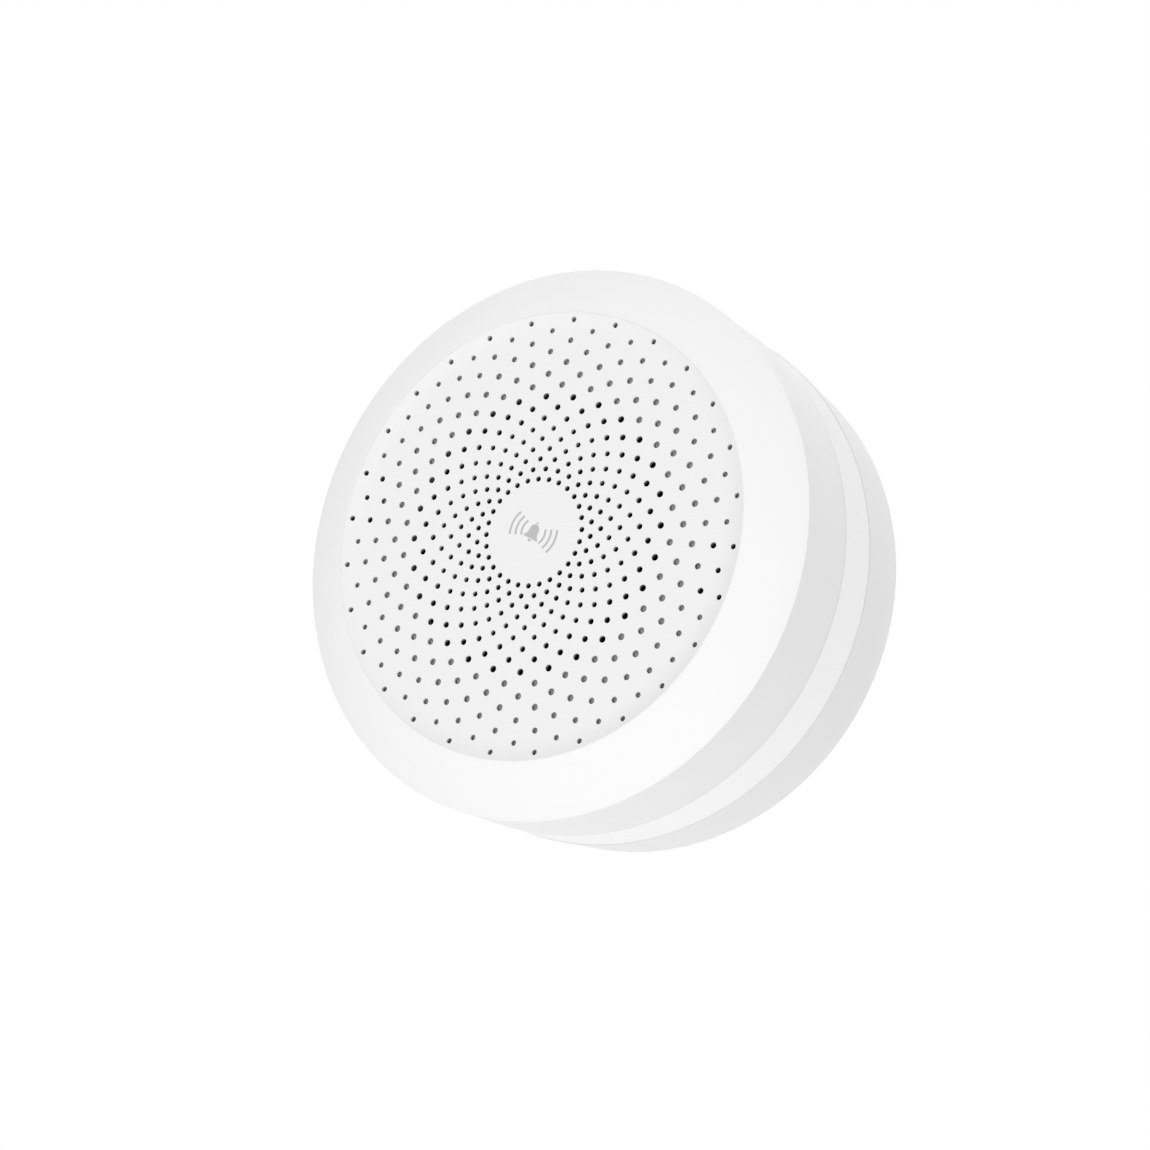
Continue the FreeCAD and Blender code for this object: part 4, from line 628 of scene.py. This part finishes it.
# painted shade: how far each ring's hole walls are darkened in colour, at a quarter, half and full depth
W_OPEN, W_MID, W_BACKED, W_PORT = (0.55, 0.90, 1.0), (0.30, 0.62, 0.92), (0.22, 0.60, 1.0), (0.70, 1.0, 1.0)
HOLE_SHADE = [W_OPEN] * 3 + [W_MID] * 4 + [W_OPEN] * 2 + [W_BACKED] * 7
PER = 28
ARC_R = 9.69                      # radius of the upturned rim in section
LEAN = 1.75                       # how much further the rim's shading normals lean
SOFT = 0.055                      # rounding at each hole's mouth
RIM_R = 32.165


def face_y(r):
    """Front surface of the grille at radius r, and its slope dy/dr."""
    if r <= RIM0:
        return FLAT, 0.0
    d = min(r, RIM_R) - RIM0
    c = math.sqrt(ARC_R * ARC_R - d * d)
    return FLAT - (ARC_R - c), -d / c


def build_grille():
    bounds_r = [RINGS[0][0] - 0.72]
    for (a, _), (b, _) in zip(RINGS, RINGS[1:]):
        bounds_r.append((a + b) / 2)
    bounds_r.append(31.86)
    MA, MR = 8, 5                 # steps along a cell's arcs and its sides
    S = 2 * MA + 2 * MR
    V, NRM, F, SH = [], [], [], []

    def put(r, a, y, n):
        V.append((r * math.cos(a) * MM, y * MM, r * math.sin(a) * MM))
        NRM.append(n)
        SH.append(0.0)
        return len(V) - 1

    def surf(r, a):
        y, s = face_y(r)
        s *= LEAN
        k = 1 / math.sqrt(1 + s * s)
        return put(r, a, y, (s * k * math.cos(a), -k, s * k * math.sin(a)))

    pitch = 2 * math.pi / PER
    for k, (rc, rh) in enumerate(RINGS):
        r0, r1 = bounds_r[k], bounds_r[k + 1]
        shift = 0.0 if k % 2 == 0 else pitch / 2
        for j in range(PER):
            ac = j * pitch + shift
            cx, cz = rc * math.cos(ac), rc * math.sin(ac)
            # how deep the painted shade in the hole's walls is: holes over the open speaker and over the two port slots
            # let light through instead of back
            port = k >= 12 and min(abs(math.degrees(ac) - 12.857), abs(math.degrees(ac) - 192.857)) < 8.0
            dark = W_PORT if port else HOLE_SHADE[k]
            loop = []             # around the cell, from the inner left corner, turning with the angle
            for i in range(MA):
                loop.append((r0, ac - pitch / 2 + pitch * i / MA))
            for i in range(MR):
                loop.append((r0 + (r1 - r0) * i / MR, ac + pitch / 2))
            for i in range(MA):
                loop.append((r1, ac + pitch / 2 - pitch * i / MA))
            for i in range(MR):
                loop.append((r1 - (r1 - r0) * i / MR, ac - pitch / 2))
            # direction of each loop point on the hole: corners lie on the diagonals
            ang = []
            for i in range(MA):
                ang.append(-3 * math.pi / 4 + math.pi / 2 * i / MA)
            for i in range(MR):
                ang.append(-math.pi / 4 + math.pi / 2 * i / MR)
            for i in range(MA):
                ang.append(math.pi / 4 + math.pi / 2 * i / MA)
            for i in range(MR):
                ang.append(3 * math.pi / 4 + math.pi / 2 * i / MR)
            er = (math.cos(ac), math.sin(ac))
            et = (-math.sin(ac), math.cos(ac))
            dirs = [(math.cos(t) * et[0] + math.sin(t) * er[0], math.cos(t) * et[1] + math.sin(t) * er[1]) for t in ang]
            rows = [[surf(r, a) for r, a in loop]]
            rim = rh + SOFT
            edge_pts = [(cx + d[0] * rim, cz + d[1] * rim) for d in dirs]
            for f in (0.6,):
                row = []
                for (r, a), (ex, ez) in zip(loop, edge_pts):
                    x = r * math.cos(a) * (1 - f) + ex * f
                    z = r * math.sin(a) * (1 - f) + ez * f
                    row.append(surf(math.hypot(x, z), math.atan2(z, x)))
                rows.append(row)
            rows.append([surf(math.hypot(x, z), math.atan2(z, x)) for x, z in edge_pts])
            # rounded mouth, then the wall down to the back
            yc, sc = face_y(rc)
            for q in (45.0, 90.0):
                u = math.radians(q)
                rr = rh + SOFT * (1 - math.sin(u))
                row = []
                for d in dirs:
                    x, z = cx + d[0] * rr, cz + d[1] * rr
                    y = face_y(math.hypot(cx + d[0] * rim, cz + d[1] * rim))[0] + SOFT * (1 - math.cos(u))
                    V.append((x * MM, y * MM, z * MM))
                    NRM.append((-d[0] * math.sin(u), -math.cos(u), -d[1] * math.sin(u)))
                    # painted shade, faint on the rounded mouth
                    SH.append(dark[0] * (q / 90.0) ** 3 * 0.2)
                    row.append(len(V) - 1)
                rows.append(row)
            top = [face_y(math.hypot(cx + d[0] * rim, cz + d[1] * rim))[0] + SOFT for d in dirs]
            for f, w in ((0.25, dark[0]), (0.5, dark[1]), (1.0, dark[2])):
                row = []
                for d, yt in zip(dirs, top):
                    V.append(((cx + d[0] * rh) * MM, (yt + (GB - yt) * f) * MM, (cz + d[1] * rh) * MM))
                    NRM.append((-d[0], 0.0, -d[1]))
                    # painted shade: darker with depth, and lighter towards the top-left of each hole where the light
                    # falls
                    SH.append(min(1.0, w * (1.0 - 0.35 * d[1] + 0.12 * d[0])))
                    row.append(len(V) - 1)
                rows.append(row)
            for a, b in zip(rows, rows[1:]):
                for i in range(S):
                    h = (i + 1) % S
                    F.append((a[i], b[i], b[h], a[h]))
            # back face of the cell
            back = [put(r, a, GB, (0.0, 1.0, 0.0)) for r, a in loop]
            hole = [put(math.hypot(cx + d[0] * rh, cz + d[1] * rh), math.atan2(cz + d[1] * rh, cx + d[0] * rh), GB, (0.0, 1.0, 0.0)) for d in dirs]
            for i in range(S):
                h = (i + 1) % S
                F.append((hole[i], back[i], back[h], hole[h]))
    # blank middle, front and back
    n = PER * MA
    for y, ny, flip in ((FLAT, -1.0, False), (GB, 1.0, True)):
        prev = None
        for r in (bounds_r[0], bounds_r[0] * 0.66, bounds_r[0] * 0.33):
            row = [put(r, 2 * math.pi * i / n, y, (0.0, ny, 0.0)) for i in range(n)]
            if prev:
                for i in range(n):
                    h = (i + 1) % n
                    q = (prev[i], row[i], row[h], prev[h])
                    F.append(q[::-1] if not flip else q)
            prev = row
        c = put(0.0, 0.0, y, (0.0, ny, 0.0))
        for i in range(n):
            h = (i + 1) % n
            t = (prev[i], prev[h], c)
            F.append(t if not flip else t[::-1])
    # outer rim: up the last of the curve, over a rounded edge and down to the back
    y31, s31 = face_y(bounds_r[-1])
    ytop, stop = face_y(RIM_R)
    s31l, stopl = s31 * LEAN, stop * LEAN
    k31, ktop = 1 / math.sqrt(1 + s31 * s31), 1 / math.sqrt(1 + stop * stop)
    k31l, ktopl = 1 / math.sqrt(1 + s31l * s31l), 1 / math.sqrt(1 + stopl * stopl)
    edge = [(bounds_r[-1], y31, s31l * k31l, -k31l), (RIM_R, ytop, stopl * ktopl, -ktopl)]
    lean = math.atan2(-ktop, stop * ktop)
    turn = (0.0 - lean)
    rr = (GR - RIM_R) / (1.0 - stop * ktop)
    ccx, ccy = RIM_R - stop * ktop * rr, ytop + ktop * rr
    for i in range(1, 7):
        t = lean + turn * i / 6
        edge.append((min(ccx + rr * math.cos(t), GR), ccy + rr * math.sin(t), math.cos(t), math.sin(t)))
    edge.append((GR, GB - 0.05, 1.0, 0.0))
    edge.append((GR - 0.05, GB, 0.0, 1.0))
    edge.append((bounds_r[-1], GB, 0.0, 1.0))
    rows = []
    for r, y, nr, ny in edge:
        rows.append([put(r, 2 * math.pi * i / n, y, (nr * math.cos(2 * math.pi * i / n), ny, nr * math.sin(2 * math.pi * i / n))) for i in range(n)])
    for a, b in zip(rows, rows[1:]):
        for i in range(n):
            h = (i + 1) % n
            F.append((a[i], b[i], b[h], a[h]))
    return V, F, NRM, SH


gv, gf, gn, gs = build_grille()
grille = mesh_object("grille_plate", gv, gf, gn, M["grille_white"], values=gs)
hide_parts("front_grille")

# ------------------------------------------------- printed bell, mid-grey ink


def poly_plate(name, outlines, y, material, proud=0.004, sunk=0.004, body="enclosure"):
    """Closed printed shapes that stand a hair proud of the plate at height y."""
    bm = bmesh.new()
    for pts in outlines:
        vs = [bm.verts.new((x * MM, (y - proud) * MM, z * MM)) for x, z in pts]
        f = bm.faces.new(vs)
        bm.normal_update()
        if f.normal.y > 0:
            f.normal_flip()
        low = {v: bm.verts.new((v.co.x, (y + sunk) * MM, v.co.z)) for v in vs}
        ring = list(f.verts)
        bm.faces.new([low[v] for v in reversed(ring)])
        for i, v in enumerate(ring):
            w = ring[(i + 1) % len(ring)]
            bm.faces.new([w, v, low[v], low[w]])
    bmesh.ops.triangulate(bm, faces=[f for f in bm.faces if len(f.verts) > 4])
    me = bpy.data.meshes.new(name)
    bm.to_mesh(me)
    bm.free()
    me.materials.append(material)
    o = bpy.data.objects.new(name, me)
    scene.collection.objects.link(o)
    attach(o, body)
    return o


def disc_outline(cx, cz, r, a0, a1, n=12):
    return [(cx + r * math.cos(a0 + (a1 - a0) * i / n), cz + r * math.sin(a0 + (a1 - a0) * i / n)) for i in range(n + 1)]


def ring_outline(cx, cz, r_out, r_in, a0, a1, n=24):
    pts = [(cx + r_out * math.cos(a0 + (a1 - a0) * i / n), cz + r_out * math.sin(a0 + (a1 - a0) * i / n)) for i in range(n + 1)]
    pts += [(cx + r_in * math.cos(a1 + (a0 - a1) * i / n), cz + r_in * math.sin(a1 + (a0 - a1) * i / n)) for i in range(n + 1)]
    return pts


ink = Mat("print_ink")
ink.set(Base_Color=ink.mix(ink.noise(0.25, 3.0), (0.50, 0.50, 0.51, 1), (0.56, 0.56, 0.57, 1)), Roughness=0.5,
        Normal=ink.bump(ink.noise(0.1), 1.0))
bell = []
K = 1.25
body_pts = []
for i in range(17):               # dome
    t = math.pi - math.pi * i / 16
    body_pts.append((0.62 * math.cos(t), 0.28 + 0.62 * math.sin(t)))
body_pts += [(0.66, -0.10), (0.78, -0.42), (1.00, -0.66), (1.00, -0.80), (-1.00, -0.80), (-1.00, -0.66), (-0.78, -0.42), (-0.66, -0.10)]
bell.append(body_pts)
bell.append(disc_outline(0.0, -0.90, 0.26, math.radians(180), math.radians(360)))
bell.append(disc_outline(0.0, 1.02, 0.15, math.radians(-20), math.radians(200)))
for sx in (1, -1):
    for rr, half in ((1.55, 34), (2.30, 30), (3.05, 27)):
        mid = 0 if sx > 0 else 180
        bell.append(ring_outline(0.0, 0.0, rr + 0.13, rr - 0.13, math.radians(mid - half), math.radians(mid + half), 24))
bell = [[(x * K, z * K) for x, z in pts] for pts in bell]
mark = poly_plate("bell_mark", bell, FLAT, ink.m)

# ------------------------------------- soft parts of the speaker that flex


def flexing(name, node, r_fixed, r_moving):
    """The soft ring between the speaker's frame and its moving cone. Points at
    r_fixed and beyond stay with the frame, points at r_moving and within move
    with the cone, and the ones between bend smoothly."""
    me = N[node].data.copy()
    me.name = name
    bm = bmesh.new()
    bm.from_mesh(me)
    bmesh.ops.remove_doubles(bm, verts=bm.verts[:], dist=2e-7)
    bm.to_mesh(me)
    bm.free()
    o = bpy.data.objects.new(name, me)
    scene.collection.objects.link(o)
    smooth_normals(me, 30.0)
    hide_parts(node)
    y = (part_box(node)[0].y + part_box(node)[1].y) / 2
    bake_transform(o, "enclosure", "speaker_diaphragm", start=(r_fixed * MM, y, 0.0), end=(r_moving * MM, y, 0.0))
    # the part is round, so the share is set by the distance from its axis
    co = np.array([v.co for v in me.vertices], float).reshape(-1, 3)
    t = np.clip((r_fixed - np.hypot(co[:, 0], co[:, 2]) / MM) / (r_fixed - r_moving), 0.0, 1.0)
    me.attributes["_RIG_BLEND"].data.foreach_set("value", (t * t * (3 - 2 * t)).astype(np.float32))
    return o


flexing("surround_roll", "speaker_surround", 18.40, 15.55)
flexing("spider_disc", "speaker_spider", 10.85, 6.15)

# ============================================================ world and camera
world = bpy.data.worlds.new("studio")
scene.world = world
world.use_nodes = True
wt = world.node_tree
wt.nodes.clear()


def wn(kind, **props):
    n = wt.nodes.new(kind)
    for k, v in props.items():
        setattr(n, k, v)
    return n


def wmath(op, a, b=None, c=None):
    n = wn("ShaderNodeMath", operation=op)
    for i, v in enumerate((a, b, c)):
        if v is None:
            continue
        if isinstance(v, bpy.types.NodeSocket):
            wt.links.new(v, n.inputs[i])
        else:
            n.inputs[i].default_value = v
    return n.outputs[0]


tc = wn("ShaderNodeTexCoord")
nz = wn("ShaderNodeVectorMath", operation="NORMALIZE")
wt.links.new(tc.outputs["Generated"], nz.inputs[0])
sx = wn("ShaderNodeSeparateXYZ")
wt.links.new(nz.outputs[0], sx.inputs[0])
X, Y, Z = sx.outputs
# slow change of brightness over the white room, as cards and soft boxes give
ENV = [0.897, 0.036, 0.049, 0.004, -0.262, 0.177, -0.267, -0.122, 0.179]
terms = [None, X, Y, Z, wmath("MULTIPLY", X, Y), wmath("MULTIPLY", Y, Z), wmath("MULTIPLY", X, Z),
         wmath("SUBTRACT", wmath("MULTIPLY", X, X), wmath("MULTIPLY", Z, Z)),
         wmath("MULTIPLY_ADD", wmath("MULTIPLY", Y, Y), 3.0, -1.0)]
total = None
for c, t in zip(ENV, terms):
    total = c if t is None else wmath("MULTIPLY_ADD", t, c, total)
level = wmath("MAXIMUM", total, 0.25)
bg_light = wn("ShaderNodeBackground")
wt.links.new(level, bg_light.inputs["Strength"])
bg_light.inputs["Color"].default_value = (1.0, 1.0, 1.0, 1)
bg_seen = wn("ShaderNodeBackground")
bg_seen.inputs["Color"].default_value = (1, 1, 1, 1)
bg_seen.inputs["Strength"].default_value = 1.0
lp = wn("ShaderNodeLightPath")
mixs = wn("ShaderNodeMixShader")
wt.links.new(lp.outputs["Is Camera Ray"], mixs.inputs[0])
wt.links.new(bg_light.outputs[0], mixs.inputs[1])
wt.links.new(bg_seen.outputs[0], mixs.inputs[2])
wo = wn("ShaderNodeOutputWorld")
wt.links.new(mixs.outputs[0], wo.inputs[0])

# evenly lit pale floor, well below the unit, which hangs in a wall socket
floor_me = bpy.data.meshes.new("studio_floor")
FZ, FS = -0.16, 12.0
floor_me.from_pydata([(-FS, -FS, FZ), (FS, -FS, FZ), (FS, FS, FZ), (-FS, FS, FZ)], [], [(0, 1, 2, 3)])
floor = bpy.data.objects.new("studio_floor", floor_me)
scene.collection.objects.link(floor)
fm = bpy.data.materials.new("floor_white")
fm.use_nodes = True
ft = fm.node_tree
ft.nodes.clear()
f_out = ft.nodes.new("ShaderNodeOutputMaterial")
f_mix = ft.nodes.new("ShaderNodeMixShader")
f_em = ft.nodes.new("ShaderNodeEmission")
f_em.inputs["Color"].default_value = (1, 1, 1, 1)
f_em.inputs["Strength"].default_value = 1.0
f_tr = ft.nodes.new("ShaderNodeBsdfTransparent")
f_lp = ft.nodes.new("ShaderNodeLightPath")
ft.links.new(f_lp.outputs["Is Camera Ray"], f_mix.inputs[0])
ft.links.new(f_tr.outputs[0], f_mix.inputs[1])
ft.links.new(f_em.outputs[0], f_mix.inputs[2])
ft.links.new(f_mix.outputs[0], f_out.inputs[0])
floor_me.materials.append(fm)


def softbox(name, az, el, dist, size, watts):
    """Square soft light aimed at the middle of the object."""
    ld = bpy.data.lights.new(name, "AREA")
    ld.shape = "SQUARE"
    ld.size = size
    ld.energy = watts
    ld.color = (1.0, 1.0, 1.0)
    o = bpy.data.objects.new(name, ld)
    scene.collection.objects.link(o)
    a, e = math.radians(az), math.radians(el)
    back = Vector((math.sin(a) * math.cos(e), -math.cos(a) * math.cos(e), math.sin(e)))
    o.rotation_mode = "QUATERNION"
    o.rotation_quaternion = back.to_track_quat("Z", "Y")
    o.location = back * dist + Vector((0.0, -0.018, 0.0))
    o.visible_camera = False
    return o


softbox("key_softbox", 50, -35, 1.0, 0.7, 0.45)
softbox("fill_softbox", -35, 40, 1.2, 0.9, 0.20)

scene.view_settings.view_transform = "Standard"
scene.view_settings.look = "None"
scene.view_settings.exposure = 0.0
scene.view_settings.gamma = 1.0

cam_data = bpy.data.cameras.new("camera")
cam = bpy.data.objects.new("camera", cam_data)
scene.collection.objects.link(cam)
right, up, back = Vector((0.7547, 0.4716, 0.4560)), Vector((-0.3867, -0.2416, 0.8900)), Vector((0.530, -0.848, 0.0))
back.normalize()
right = (right - back * right.dot(back)).normalized()
up = back.cross(right)
rot = Matrix((right, up, back)).transposed().to_4x4()
cam.matrix_world = Matrix.Translation((0.1637, -0.2782, 0.00006)) @ rot
cam_data.sensor_width = 36.0
cam_data.lens = 65.6
cam_data.shift_x = -0.0232
cam_data.shift_y = -0.0074
cam_data.clip_start, cam_data.clip_end = 0.01, 10.0
scene.camera = cam
